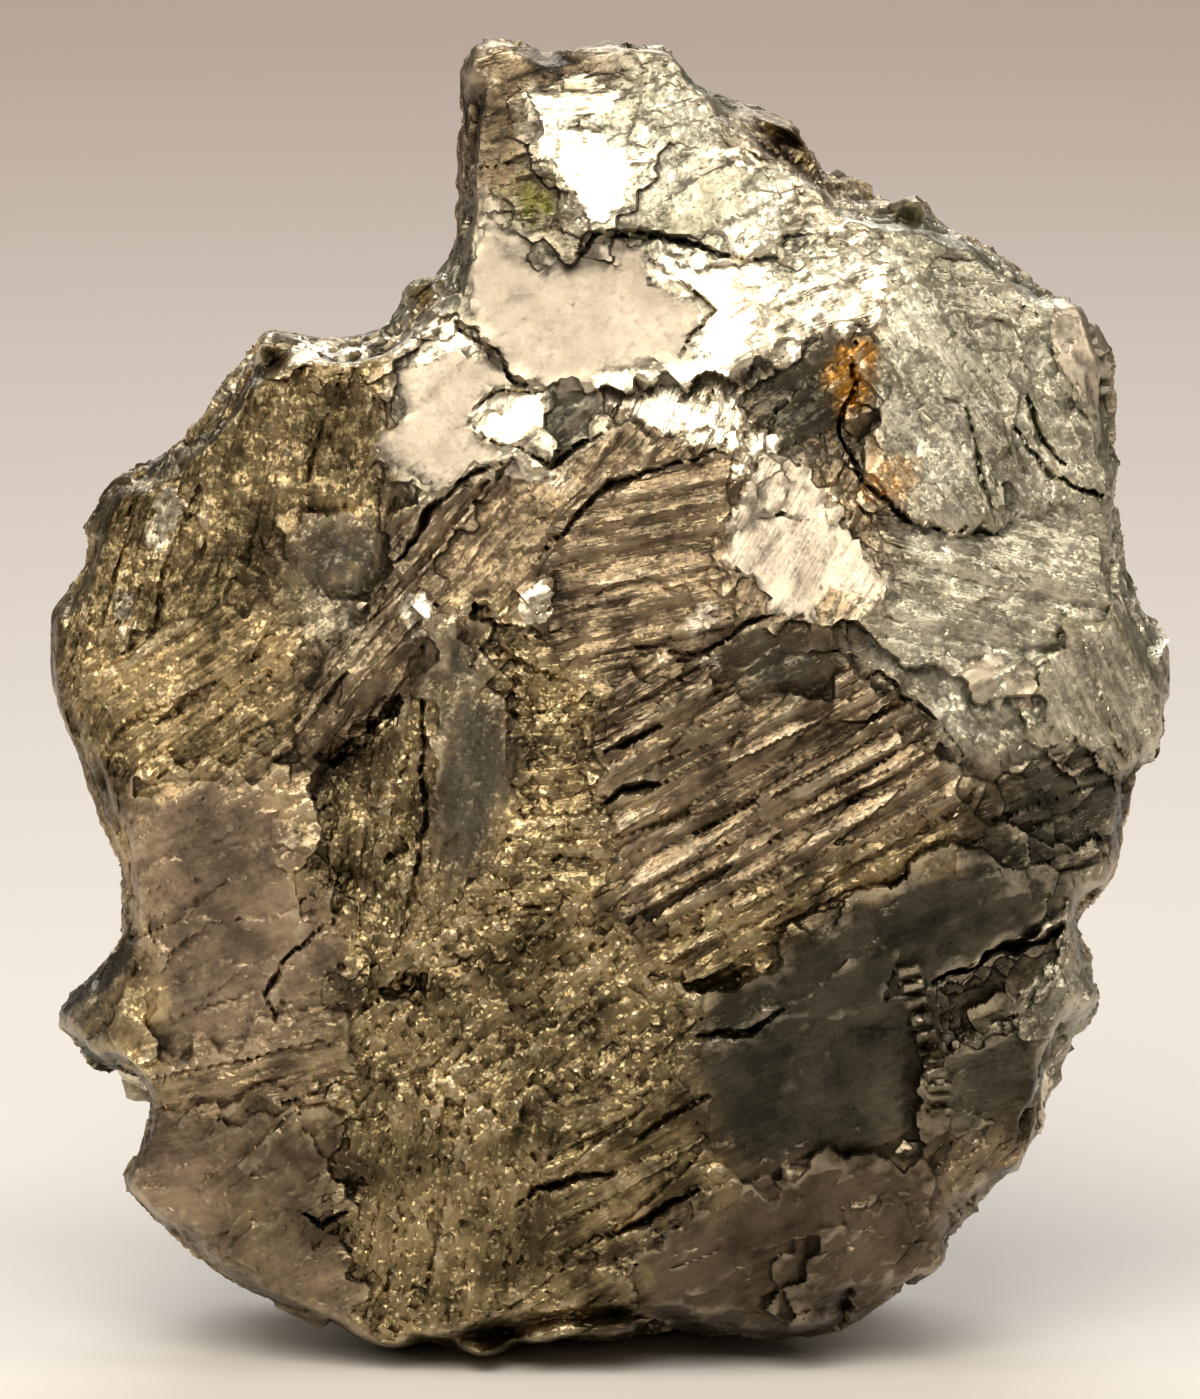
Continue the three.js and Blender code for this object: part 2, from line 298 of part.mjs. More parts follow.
// Cleavage planes of the flanks: the way each faces around the rim and how far it faces back, in degrees, and
// how far behind the rim it begins
const CLEAVAGES = [
  { around: 4, back: 38, from: 3 }, { around: 33, back: 30, from: 4 }, { around: 58, back: 42, from: 3 },
  { around: 90, back: 26, from: 4 }, { around: 128, back: 36, from: 3 }, { around: 152, back: 28, from: 5 },
  { around: 180, back: 40, from: 3 }, { around: 207, back: 30, from: 4 }, { around: 236, back: 34, from: 6 },
  { around: 304, back: 32, from: 5 }, { around: 336, back: 27, from: 4 },
];
// Ledges knocked out of the flanks: the middle of each, the way it opens, and its length, breadth and depth
const LEDGES = [
  { at: [27, 40, -6], around: 8, back: 20, size: [16, 7, 2.4] },
  { at: [25, 20, -9], around: 340, back: 34, size: [11, 9, 3] },
  { at: [21, 49, -8], around: 40, back: 30, size: [13, 6, 2.6] },
  { at: [6, 64, -7], around: 88, back: 24, size: [9, 8, 2.2] },
  { at: [-7.5, 57, -9], around: 180, back: 25, size: [12, 6, 1.8] },
  { at: [-19, 48, -8], around: 134, back: 34, size: [12, 8, 2.6] },
  { at: [-27, 33, -7], around: 178, back: 30, size: [15, 6, 2.4] },
  { at: [-25, 20, -10], around: 196, back: 36, size: [12, 8, 3] },
  { at: [-20, 7, -8], around: 222, back: 24, size: [12, 6, 2.2] },
  { at: [17, 5, -8], around: 312, back: 28, size: [12, 7, 2.6] },
];

// A closed geometry as a solid to join and cut, turned to the side of the lump that it belongs to
function solid(geometry, side = FRONT) {
  geometry.deleteAttribute('normal');
  geometry.deleteAttribute('uv');
  const closed = mergeVertices(geometry.rotateY(side.turn));
  return new wasm.Manifold(
    new wasm.Mesh({
      numProp: 3,
      vertProperties: new Float32Array(closed.attributes.position.array),
      triVerts: new Uint32Array(closed.index.array),
    }),
  );
}

function extrude(outline, depth) {
  const shape = new THREE.Shape(outline.map(([a, b]) => new THREE.Vector2(a, b)));
  return new THREE.ExtrudeGeometry(shape, { depth, bevelEnabled: false });
}

// Moves each corner of a geometry to the place that move gives for it
function reshape(geometry, move) {
  const corners = geometry.attributes.position;
  for (let i = 0; i < corners.count; i += 1) {
    corners.setXYZ(i, ...move(corners.getX(i), corners.getY(i), corners.getZ(i)));
  }
  return geometry;
}

function middleOf(outline) {
  const box = new THREE.Box2().setFromPoints(outline.map(([u, v]) => new THREE.Vector2(u, v)));
  const middle = box.getCenter(new THREE.Vector2());
  return { u: middle.x, v: middle.y, radius: box.getSize(new THREE.Vector2()).length() / 2 };
}

// How far the general curve of one side stands out at a place, and how it slopes there
function curveAt(side, u, v) {
  const across = (u - MIDDLE.u) / REACH.u;
  const up = (v - MIDDLE.v) / REACH.v;
  return {
    w: side.crown - side.fall.u * across ** 2 - side.fall.v * up ** 2,
    slope: [(-2 * side.fall.u * across) / REACH.u, (-2 * side.fall.v * up) / REACH.v],
  };
}

function planeOf(side, { edge, lift, tilt }) {
  const middle = middleOf(edge);
  const { w, slope } = curveAt(side, middle.u, middle.v);
  const [du, dv] = [slope[0] + tilt[0], slope[1] + tilt[1]];
  return (u, v) => w + lift + du * (u - middle.u) + dv * (v - middle.v);
}

// A block of the given outline between two heights, wider at its foot by the given share
function block(side, edge, foot, top, spread = 0) {
  const middle = middleOf(edge);
  const raised = reshape(extrude(edge, 1), (u, v, w) => {
    if (w > 0) return [u, v, top(u, v)];
    return [u + spread * (u - middle.u), v + spread * (v - middle.v), foot(u, v)];
  });
  return solid(raised, side);
}

// Twin lamellae: a bar of uneven saw teeth along a heading, laid on a face's plane
function lamellae(side, edge, { heading, spacing, height }, plane) {
  const middle = middleOf(edge);
  const half = middle.radius + 2 * spacing;
  const teeth = [[half, -2 * ROOT], [-half, -2 * ROOT]];
  for (let s = -half, seed = 1; s < half; seed += 1) {
    const chance = THREE.MathUtils.seededRandom(seed);
    const pitch = spacing * THREE.MathUtils.lerp(LAMELLA.narrow, LAMELLA.wide, chance);
    const rise = height * THREE.MathUtils.lerp(1, LAMELLA.low, chance);
    teeth.push([s, 0], [s + LAMELLA.steep * pitch, rise]);
    s += pitch;
  }
  const angle = THREE.MathUtils.degToRad(heading);
  const [cos, sin] = [Math.cos(angle), Math.sin(angle)];
  const bar = reshape(extrude(teeth, 2 * half), (s, rise, t) => {
    const u = middle.u + cos * (t - half) - sin * s;
    const v = middle.v + sin * (t - half) + cos * s;
    return [u, v, plane(u, v) + rise];
  });
  return solid(bar, side);
}

function faceBlock(side, face) {
  const plane = planeOf(side, face);
  const spread = (DRAFT * ROOT) / middleOf(face.edge).radius;
  const foot = (u, v) => plane(u, v) - ROOT;
  if (!face.ridges) return block(side, face.edge, foot, plane, spread);
  const blank = block(side, face.edge, foot, (u, v) => plane(u, v) + face.ridges.height, spread);
  return blank.intersect(lamellae(side, face.edge, face.ridges, plane));
}

// The space of a hollow, open to the outside
function hollow(side, edge, depth) {
  return block(side, edge, (u, v) => curveAt(side, u, v).w - depth, () => FAR);
}

// A crack's outline: its line gapes in the middle and closes at both ends
function gape(line, width) {
  const inner = line.slice(1, -1).map(([u, v], i) => {
    const [before, after] = [line[i], line[i + 2]];
    const half = new THREE.Vector2(after[0] - before[0], after[1] - before[1]).setLength(width / 2);
    return { left: [u - half.y, v + half.x], right: [u + half.y, v - half.x] };
  });
  const left = inner.map((lips) => lips.left);
  const right = inner.map((lips) => lips.right);
  return [line[0], ...left, line.at(-1), ...right.reverse()];
}

// Every nth corner of the rim, after each corner has moved towards the middle of its neighbours several times
function wornRim(nth, times) {
  let rim = RIM;
  for (let i = 0; i < times; i += 1) {
    rim = rim.map(([u, v], k) => {
      const [before, after] = [rim.at(k - 1), rim[(k + 1) % rim.length]];
      return [(before[0] + 2 * u + after[0]) / 4, (before[1] + 2 * v + after[1]) / 4];
    });
  }
  return rim.filter((corner, k) => k % nth === 0);
}

function skin({ nth, sections }) {
  const rings = sections.map(({ w, size, towards, wear }) =>
    wornRim(nth, wear).map(([u, v]) => new THREE.Vector3(size * u, towards + size * (v - towards), w)),
  );
  const count = rings[0].length;
  const triangles = [];
  for (let ring = 0; ring + 1 < rings.length; ring += 1) {
    for (let k = 0; k < count; k += 1) {
      const [here, next] = [ring * count + k, ring * count + ((k + 1) % count)];
      triangles.push(here, here + count, next, next, here + count, next + count);
    }
  }
  const front = (rings.length - 1) * count;
  for (const [a, b, c] of THREE.ShapeUtils.triangulateShape(rings[0], [])) triangles.push(a, c, b);
  for (const [a, b, c] of THREE.ShapeUtils.triangulateShape(rings.at(-1), [])) {
    triangles.push(front + a, front + b, front + c);
  }
  return solid(new THREE.BufferGeometry().setFromPoints(rings.flat()).setIndex(triangles));
}

// A slab to cut away on the outer side of a plane: around and back give the way it faces
function outside({ around, back }, [u, v, w], [length, breadth, depth]) {
  const slab = new THREE.BoxGeometry(breadth, length, 2 * FAR).translate(0, 0, FAR - depth);
  slab.rotateY(Math.PI / 2 + THREE.MathUtils.degToRad(back));
  slab.rotateZ(THREE.MathUtils.degToRad(around));
  return solid(slab.translate(u, v, w));
}

// A plane that faces back from the outermost point of the rim on its side
function cleavage(plane) {
  const angle = THREE.MathUtils.degToRad(plane.around);
  const [cos, sin] = [Math.cos(angle), Math.sin(angle)];
  const reach = Math.max(...RIM.map(([u, v]) => u * cos + v * sin));
  return outside(plane, [reach * cos, reach * sin, -plane.from], [2 * FAR, 2 * FAR, 0]);
}

const joined = (solids) => solids.reduce((whole, piece) => whole.add(piece));
const dome = new THREE.SphereGeometry(1, DOME.sides, DOME.rows).scale(DOME.u, DOME.v, DOME.w);
dome.translate(MIDDLE.u, MIDDLE.v, 0);
const showSide = joined([solid(dome), ...FACES.map((face) => faceBlock(FRONT, face))]);
const hiddenSide = joined([skin(BODY), ...BACK_FACES.map((face) => faceBlock(BACK, face))]);

// The lump: both sides on the plate of the rim, broken on the planes of its flanks, then cracked and hollowed
let lump = skin(PLATE).add(showSide.intersect(skin(FRONT_FLANKS)));
lump = lump.add(hiddenSide.intersect(skin(BACK_FLANKS)));
for (const plane of CLEAVAGES) lump = lump.subtract(cleavage(plane));
for (const ledge of LEDGES) lump = lump.subtract(outside(ledge, ledge.at, ledge.size));
for (const crack of CRACKS) {
  lump = lump.subtract(hollow(FRONT, gape(crack.line, crack.width), crack.depth));
}
for (const crack of BACK_CRACKS) {
  lump = lump.subtract(hollow(BACK, gape(crack.line, crack.width), crack.depth));
}
for (const pit of HOLLOWS) lump = lump.subtract(hollow(FRONT, pit.edge, pit.depth));

// Its foot is flat where it stands, with the show face leaning back
const upright = Math.PI / 2 - LEAN;
const ground = new THREE.BoxGeometry(2 * FAR, 2 * FAR, 2 * FAR).translate(0, 0, -FAR).rotateX(-upright);
lump = lump.subtract(solid(ground));

// Loose chips fall away and closed pockets fill, so the largest body is the specimen
lump = lump.decompose().reduce((most, body) => (body.volume() > most.volume() ? body : most));

const { vertProperties, triVerts } = lump.getMesh();
const surface = new THREE.BufferGeometry();
surface.setAttribute('position', new THREE.BufferAttribute(vertProperties, 3));
surface.setIndex(new THREE.BufferAttribute(triVerts, 1));
surface.rotateX(upright);
surface.computeVertexNormals();

const metal = new THREE.MeshStandardMaterial({ color: '#8a7f66', roughness: 0.38, metalness: 1 });
const crystal = new THREE.Mesh(surface, metal);
crystal.name = 'bismuth_crystal';
const middle = new THREE.Box3().setFromObject(crystal).getCenter(new THREE.Vector3());
crystal.position.set(-middle.x, -middle.y, 0);

const specimen = new THREE.Group();
specimen.add(crystal);
export default specimen;
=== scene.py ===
import itertools
import math

import bpy
import numpy as np
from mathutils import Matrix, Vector


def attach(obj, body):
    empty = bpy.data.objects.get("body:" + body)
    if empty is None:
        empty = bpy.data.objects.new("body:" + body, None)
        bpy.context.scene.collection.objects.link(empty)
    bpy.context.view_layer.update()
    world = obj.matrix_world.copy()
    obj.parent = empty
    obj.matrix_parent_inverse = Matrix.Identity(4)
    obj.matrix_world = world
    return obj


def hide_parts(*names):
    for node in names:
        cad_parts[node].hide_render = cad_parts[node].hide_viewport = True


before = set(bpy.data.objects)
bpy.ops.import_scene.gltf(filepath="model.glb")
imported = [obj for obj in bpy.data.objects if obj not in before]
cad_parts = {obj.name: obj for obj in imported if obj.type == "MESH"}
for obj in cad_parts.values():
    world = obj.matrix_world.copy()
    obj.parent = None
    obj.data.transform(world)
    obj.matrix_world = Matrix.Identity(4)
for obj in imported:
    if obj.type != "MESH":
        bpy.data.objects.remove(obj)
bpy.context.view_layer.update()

# The lump: one broken piece of native bismuth, about 65 mm high, that stands on its broken foot with its show
# face leaning back. Its solid is closed again on a fine grid, in millimetres, and its show face is worn down
# to the general curve, ready for the cleavage faces to be cut into it.
MM = 1000.0  # millimetres in a metre
LEAN = math.radians(10)  # of the show face, back from upright
TIP = 65.4  # height of the tower's tip, in mm up the show face
RIM = (2.5, 4.5)  # mm out of the rim's plane, between which the show face begins
WEAR_PITCH = 0.45  # mm between the points that are worn down
WEAR_ROUNDS = 35
FINE_PITCH = 0.17  # mm between the points that are worked


def points_of(mesh, what="vertices", field="co"):
    flat = np.empty(3 * len(mesh.vertices), dtype=np.float32)
    getattr(mesh, what).foreach_get(field, flat)
    return flat.reshape(-1, 3).astype(float)


def place(mesh, points):
    mesh.vertices.foreach_set("co", points.astype(np.float32).ravel())
    mesh.update()


def edges_of(mesh):
    flat = np.empty(2 * len(mesh.edges), dtype=np.int32)
    mesh.edges.foreach_get("vertices", flat)
    return flat.reshape(-1, 2)


def ramp(value, low, high):
    """0 below low, 1 above high and a smooth rise between them."""
    share = np.clip((value - low) / (high - low), 0, 1)
    return share * share * (3 - 2 * share)


def among_neighbours(values, edges):
    """The mean of each point's neighbours along the edges of the mesh."""
    first, second = edges.T
    count = np.bincount(edges.ravel(), minlength=len(values))
    columns = values.reshape(len(values), -1).T
    sums = [np.bincount(first, column[second], len(values)) + np.bincount(second, column[first], len(values))
            for column in columns]
    return (np.array(sums) / np.maximum(count, 1)).T.reshape(values.shape)


def rework(lump, kind, **settings):
    """Puts the lump's mesh through one of Blender's modifiers."""
    tool = lump.modifiers.new(kind, kind)
    for name, value in settings.items():
        setattr(tool, name, value)
    whole = lump.evaluated_get(bpy.context.evaluated_depsgraph_get())
    before, lump.data = lump.data, bpy.data.meshes.new_from_object(whole)
    lump.modifiers.clear()
    bpy.data.meshes.remove(before)


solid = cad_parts["bismuth_crystal"]
lump = bpy.data.objects.new("bismuth_lump", solid.data.copy())
bpy.context.scene.collection.objects.link(lump)
corners = MM * points_of(lump.data)
place(lump.data, corners)

# Places on the show face: u runs right, v runs up the face and w stands out of it, in mm
cos, sin = math.cos(LEAN), math.sin(LEAN)
forward = (np.max(corners[:, 1] * sin + corners[:, 2] * cos) - TIP) / sin


def to_face(points):
    x, y, z = points.T
    return np.column_stack([x, (y - forward) * sin + z * cos, -(y - forward) * cos + z * sin])


def from_face(places):
    u, v, w = places.T
    return np.column_stack([u, v * sin - w * cos + forward, v * cos + w * sin])


rework(lump, "REMESH", mode="VOXEL", voxel_size=WEAR_PITCH)
worn = points_of(lump.data)
edges = edges_of(lump.data)
on_show = ramp(to_face(worn)[:, 2], *RIM)[:, None]
for _ in range(WEAR_ROUNDS):
    worn += on_show * (among_neighbours(worn, edges) - worn)
place(lump.data, worn)
rework(lump, "REMESH", mode="VOXEL", voxel_size=FINE_PITCH)

# The cleavage faces of the show side: plates and twin bands that the metal split along, each with its own
# plane. lift and tilt are against the lump's general curve, in mm and mm per mm. bands are twin lamellae:
# their heading in degrees, spacing and height in mm. crumb is how far the face has broken into grains. shade
# scales the face's colour: partly its own tone, partly painted light and shade for how brightly it reflects
# the lamps.
CROWN = 11.0  # mm from the rim to the middle of the general curve
MIDDLE = (0.0, 31.0)
REACH = (27.0, 34.0)
FALL = (5.0, 4.5)  # how far the curve drops at the reach
ZONES = [
    dict(finish="tarnish", shade=0.52, lift=0.5, tilt=(0.1, -0.1), crumb=0.2, bands=(12, 0.9, 0.10),
         edge=[(-7.4, 64.3), (-6.7, 65.3), (-4.75, 65.7), (0.5, 65.5), (1.8, 64.3), (-0.5, 62.9),
               (-3.75, 62.7), (-4.2, 60.8), (-4.5, 59.05), (-3.25, 57.55), (-2.5, 56.05), (-1.6, 54.55),
               (-3.25, 54.1), (-5.5, 56.55), (-7.4, 57.55)]),
    dict(finish="grey", shade=1.0, lift=1.1, tilt=(0, -0.16), crumb=0.2, bands=(5, 0.8, 0.06),
         edge=[(-4.15, 62.5), (-2.5, 63), (1.1, 62.6), (1.1, 60.8), (1.6, 59.8), (2.5, 58.8),
               (1.75, 57.55), (0.25, 56), (-0.6, 55.8), (-1.75, 56.8), (-2.9, 59.05), (-3.25, 60.3),
               (-4.1, 61.05)]),
    dict(finish="grey", shade=1.0, lift=0.7, tilt=(-0.1, -0.1), crumb=0.2,
         edge=[(1.8, 64.8), (3.1, 65.1), (4.5, 63.7), (6.6, 62), (5.6, 60.3), (4, 59.8), (1.5, 60.2),
               (0.6, 61.7), (1.5, 63.1)]),
    dict(finish="tarnish", shade=1.2, lift=0.2, tilt=(-0.3, -0.25), crumb=0.8, bands=(-40, 0.8, 0.12),
         edge=[(4.75, 63), (8, 62), (9.8, 60.8), (12.5, 57.5), (11.25, 56.5), (9.5, 58.2), (7.5, 59.2),
               (5.6, 60.2)]),
    dict(finish="grey", shade=1.12, lift=1, tilt=(0.03, -0.05), crumb=0.1, bands=(30, 0.9, 0.02),
         edge=[(2, 58.7), (4.5, 59.8), (7.1, 59.3), (9.1, 57.8), (9.5, 56.55), (8, 55.2), (6.25, 54.5),
               (4, 55), (0.9, 56)]),
    dict(finish="grey", shade=1.05, lift=0.6, tilt=(-0.1, -0.16), crumb=0.8, bands=(10, 0.8, 0.1),
         edge=[(7.3, 59.3), (9.5, 58.3), (11.3, 56.8), (13.1, 57), (13.1, 54.8), (11, 54), (8.5, 53.9),
               (8, 55.2), (9.5, 56.55)]),
    dict(finish="grey", shade=0.68, lift=0.7, tilt=(0.02, -0.14), crumb=0.1,
         edge=[(-7.4, 57.05), (-5.5, 56.4), (-3.4, 54.1), (-1.4, 54.2), (1.5, 54.8), (4.5, 54.5),
               (6.75, 52.8), (7.5, 50.3), (6.25, 48.5), (1.5, 48), (-2.5, 47.3), (-4.5, 47.5),
               (-5.5, 48.7), (-7.1, 51), (-7.6, 54.3)]),
    dict(finish="grey", shade=1.2, lift=1.1, tilt=(0, -0.2), crumb=0.3, bands=(20, 1.1, 0.08),
         edge=[(4.2, 54.5), (7.5, 53.8), (11, 54), (14.6, 53.4), (14.9, 52.3), (13, 51.05),
               (11.5, 50.8), (9.5, 49.8), (8, 49.2), (6.9, 50.3), (5.9, 52.5)]),
    dict(finish="tarnish", shade=1.1, lift=0.3, tilt=(0, -0.2), crumb=0.2, bands=(68, 0.6, 0.3),
         edge=[(-1.1, 47.6), (1.5, 48), (6.3, 48.4), (6.7, 46.8), (6.4, 45.3), (5.5, 44.1), (4, 44.5),
               (2, 45.3), (0, 46.7)]),
    dict(finish="grey", shade=0.82, lift=0.6, tilt=(0.03, -0.16), crumb=0.1,
         edge=[(-10.5, 50.55), (-9.3, 52.3), (-8, 52.05), (-7, 50.9), (-5.5, 48.6), (-4.5, 47.5),
               (-6.7, 46.7), (-6.6, 45.6), (-5.2, 44.5), (-7, 43.7), (-8.5, 42.8), (-10.25, 43.2),
               (-11.5, 44.2), (-11.25, 46.3), (-10.6, 48.3)]),
    dict(finish="grey", shade=1.1, lift=1.2, tilt=(0.05, -0.12), crumb=0,
         edge=[(-6.75, 46.8), (-4.75, 47.7), (-3, 47.45), (-2.9, 45.8), (-3.1, 43.7), (-4.5, 44.45),
               (-6.6, 45.65)]),
    dict(finish="grey", shade=0.9, lift=0.5, tilt=(-0.05, 0.1), crumb=0, bands=(35, 0.8, 0.05),
         edge=[(-3, 47.55), (-1.5, 47.75), (0.2, 46.7), (-0.5, 45.95), (-2.5, 44.2), (-3.1, 43.9)]),
    dict(finish="tarnish", shade=1.0, lift=1, tilt=(0, -0.35), crumb=0.4, bands=(80, 0.8, 0.08),
         edge=[(-18.2, 49.3), (-17.2, 51.2), (-16, 51.3), (-14.7, 50.3), (-11.7, 50.5), (-10.9, 50),
               (-11.5, 49.1), (-14, 48.8), (-17.7, 48.6)]),
    dict(finish="grey", shade=1.1, lift=1.6, tilt=(-0.15, -0.2), crumb=0.3, bands=(60, 0.8, 0.08),
         edge=[(-10.7, 50.1), (-10.1, 51.8), (-9.9, 53.3), (-9.25, 53.5), (-8.05, 53), (-7.75, 51.4),
               (-8.9, 50.4), (-10.25, 49.6)]),
    dict(finish="gold", shade=0.75, lift=0.6, tilt=(0.02, 0.05), crumb=0.4, bands=(82, 0.6, 0.10),
         edge=[(-18.9, 48.5), (-11.2, 49), (-11.5, 44.1), (-10.4, 43.1), (-11.1, 41.2), (-13.5, 42),
               (-16, 41), (-16.3, 37.8), (-19, 39.3), (-21.7, 44.2), (-19.9, 47.2)]),
    dict(finish="dark", shade=1.25, lift=0.8, tilt=(-0.06, 0.1), crumb=0, bands=(80, 0.7, 0.03),
         edge=[(-16, 41), (-13.5, 42), (-11.2, 41.2), (-10.8, 39.3), (-11.7, 37), (-14.5, 37.2),
               (-16.2, 37.8)]),
    dict(finish="gold", shade=0.9, lift=0.3, tilt=(0.12, -0.02), crumb=0.6, bands=(70, 1.0, 0.25),
         edge=[(-25.5, 42.3), (-21.7, 44.2), (-19, 39.3), (-16.3, 37.7), (-18.9, 36.4), (-22, 36.7),
               (-24.5, 35.2), (-28, 34.5), (-28.1, 36.8), (-26.4, 40.05)]),
    dict(finish="gold", shade=1.15, lift=0.7, tilt=(0.05, 0.04), crumb=0.5, bands=(36, 0.8, 0.18),
         edge=[(-24.5, 35.2), (-18.9, 37.2), (-16, 37.3), (-13.4, 35.3), (-15.5, 32.2), (-17, 29.2),
               (-21, 27), (-23, 28.2), (-25.1, 31.3), (-25.9, 33.3)]),
    dict(finish="grey", shade=1.0, lift=1, tilt=(0, -0.08), crumb=0.2, bands=(35, 0.7, 0.05),
         edge=[(-16, 37.2), (-13.25, 37), (-12.4, 35.7), (-14.4, 34), (-16, 33.2), (-16.3, 35.3)]),
    dict(finish="gold", shade=0.8, lift=0.2, tilt=(0.2, 0.05), crumb=0.6, bands=(62, 0.9, 0.15),
         edge=[(-28.2, 34.3), (-25.9, 33.3), (-25.1, 31.3), (-23, 28.2), (-24.6, 24.8), (-26, 27.7),
               (-27.2, 30.8)]),
    dict(finish="tarnish", shade=0.8, lift=1.3, tilt=(-0.15, 0.1), crumb=0.2, bands=(52, 0.9, 0.35),
         edge=[(-5.2, 44.2), (-7, 43.6), (-9, 41.8), (-11, 38.7), (-12.5, 35.7), (-15.5, 32),
               (-14.9, 30), (-12.9, 30.7), (-10.4, 33.1), (-9.4, 36.2), (-8.2, 39.3), (-6.4, 41.3)]),
    dict(finish="gold", shade=0.6, lift=0.4, tilt=(0.1, 0), crumb=0.7, bands=(80, 0.8, 0.10),
         edge=[(-14, 29), (-10.4, 31.2), (-9.3, 34.8), (-9, 29.3), (-8.9, 22.3), (-10.5, 19.7),
               (-13.7, 23.1), (-14.9, 27)]),
    dict(finish="mauve", shade=1.55, lift=0.8, tilt=(0.06, 0.1), crumb=0.3, bands=(25, 1.2, 0.04),
         edge=[(-24.9, 28.3), (-23, 28.2), (-20.7, 29.7), (-16.9, 28.7), (-16, 25.7), (-15.4, 22.2),
               (-13.9, 20.7), (-15.5, 17.2), (-18.9, 15.3), (-22.5, 14.7), (-22.5, 19.2), (-24.1, 20.8),
               (-24.6, 24.2)]),
    dict(finish="tarnish", shade=1.15, lift=1.6, tilt=(-0.1, -0.2), crumb=0.1, bands=(20, 0.6, 0.1),
         edge=[(-16.25, 27.7), (-15, 28.8), (-14.2, 27.2), (-15.4, 24.8), (-16.3, 25.2)]),
    dict(finish="dark", shade=1.3, lift=1.1, tilt=(-0.12, 0.06), crumb=0.1, bands=(75, 0.7, 0.04),
         edge=[(-9, 35.2), (-7.9, 37.2), (-6.4, 36.2), (-5.4, 33.2), (-4.4, 29.2), (-4.9, 25.7),
               (-6.9, 24.7), (-8.5, 22.2), (-9, 27.2)]),
    dict(finish="tarnish", shade=1.0, lift=1.9, tilt=(0, -0.25), crumb=0.2,
         edge=[(-10.4, 37.5), (-8.9, 37.7), (-8.85, 35.65), (-10.3, 35.65)]),
    dict(finish="tarnish", shade=1.0, lift=1.7, tilt=(0, -0.25), crumb=0.2,
         edge=[(-4.3, 37.8), (-2.9, 37.95), (-2.85, 36.3), (-4, 36)]),
    dict(finish="gold", shade=1.0, lift=0.5, tilt=(0.1, -0.1), crumb=1.0, bands=(4, 0.7, 0.15),
         edge=[(-7, 37.2), (-5.4, 36.2), (-3.9, 34.7), (-2.5, 32.2), (-0.9, 27.7), (-0.4, 24.7),
               (-2.4, 22.2), (-4.4, 20.7), (-6, 21.2), (-4.9, 25.2), (-4.4, 29.2), (-5.4, 33.2)]),
    dict(finish="tarnish", shade=1.0, lift=1, tilt=(0.05, -0.02), crumb=0.2, bands=(52, 0.9, 0.15),
         edge=[(-5.2, 44.1), (-3.1, 43.6), (-0.4, 45.8), (1.5, 45.2), (5.3, 44.1), (1.5, 43.6),
               (-0.5, 42.6), (-2.4, 40.7), (-3.4, 38.7), (-5.4, 37.2), (-7.9, 37), (-8.2, 39.3),
               (-6.4, 41.3)]),
    dict(finish="tarnish", shade=1.0, lift=0.8, tilt=(0.02, 0.05), crumb=0.2, bands=(12, 0.9, 0.30),
         edge=[(-3.2, 39.2), (-1.4, 42), (1.6, 43.5), (5.6, 44.1), (6.3, 43.2), (5.8, 40.2),
               (5.6, 37.2), (3.6, 35.2), (0.6, 34.7), (-1.9, 35.2), (-3.2, 37.2)]),
    dict(finish="tarnish", shade=1.12, lift=1, tilt=(0.04, -0.18), crumb=0.2, bands=(60, 0.9, 0.04),
         edge=[(6.5, 42.8), (8.25, 44.1), (9.5, 43.95), (11, 42.8), (12, 40.3), (13.6, 38.3),
               (12.9, 37.2), (11, 37.2), (10.25, 36.2), (8.5, 36.7), (7, 37.7), (5.9, 38), (5.6, 39.8),
               (6.2, 41.3)]),
    dict(finish="dark", shade=0.8, lift=0.4, tilt=(0.1, 0.12), crumb=0.2, bands=(35, 0.9, 0.12),
         edge=[(6.3, 48.1), (8, 49.1), (11.5, 50.7), (12.6, 50.3), (12, 48.2), (11.1, 45.7),
               (9.5, 44.7), (8, 45.7), (6.8, 46)]),
    dict(finish="grey", shade=0.95, lift=1.7, tilt=(-0.04, -0.06), crumb=0.1, bands=(-58, 1.3, 0.15),
         edge=[(12.9, 50.5), (14.8, 52.3), (17.5, 50.8), (19.6, 49.2), (20.1, 46.3), (19.1, 41.7),
               (17.6, 41), (16, 41.7), (14.8, 43.2), (14.3, 46.3), (13.5, 49.3)]),
    dict(finish="grey", shade=0.95, lift=0.8, tilt=(0, -0.1), crumb=0.1, bands=(-30, 1.2, 0.03),
         edge=[(13.1, 57.1), (15.5, 57.9), (16.1, 56.8), (16.6, 54.3), (15.6, 52.8), (14.8, 52.3),
               (13.1, 54.7)]),
    dict(finish="grey", shade=1.1, lift=0.5, tilt=(-0.15, -0.1), crumb=0.5, bands=(-8, 0.9, 0.20),
         edge=[(16.5, 56.2), (19, 55.6), (22.7, 52.8), (21.6, 50.7), (19.6, 50.2), (17.1, 52.2),
               (16, 53.7)]),
    dict(finish="grey", shade=1.35, lift=1.1, tilt=(-0.15, -0.05), crumb=0.1, bands=(-66, 1.2, 0.05),
         edge=[(22, 52.4), (24, 52), (25.1, 49.3), (25.7, 46.7), (23.6, 47.2), (22.1, 48.7),
               (21.5, 50.7)]),
    dict(finish="grey", shade=1.15, lift=0.8, tilt=(-0.05, 0), crumb=0.2, bands=(-60, 1.4, 0.08),
         edge=[(17.5, 50.7), (21.6, 50.7), (22.2, 48.2), (23.6, 46.8), (25.8, 46.2), (25.8, 43.2),
               (22.6, 42.2), (19.6, 41.7), (20.1, 46.2), (19.6, 49.2)]),
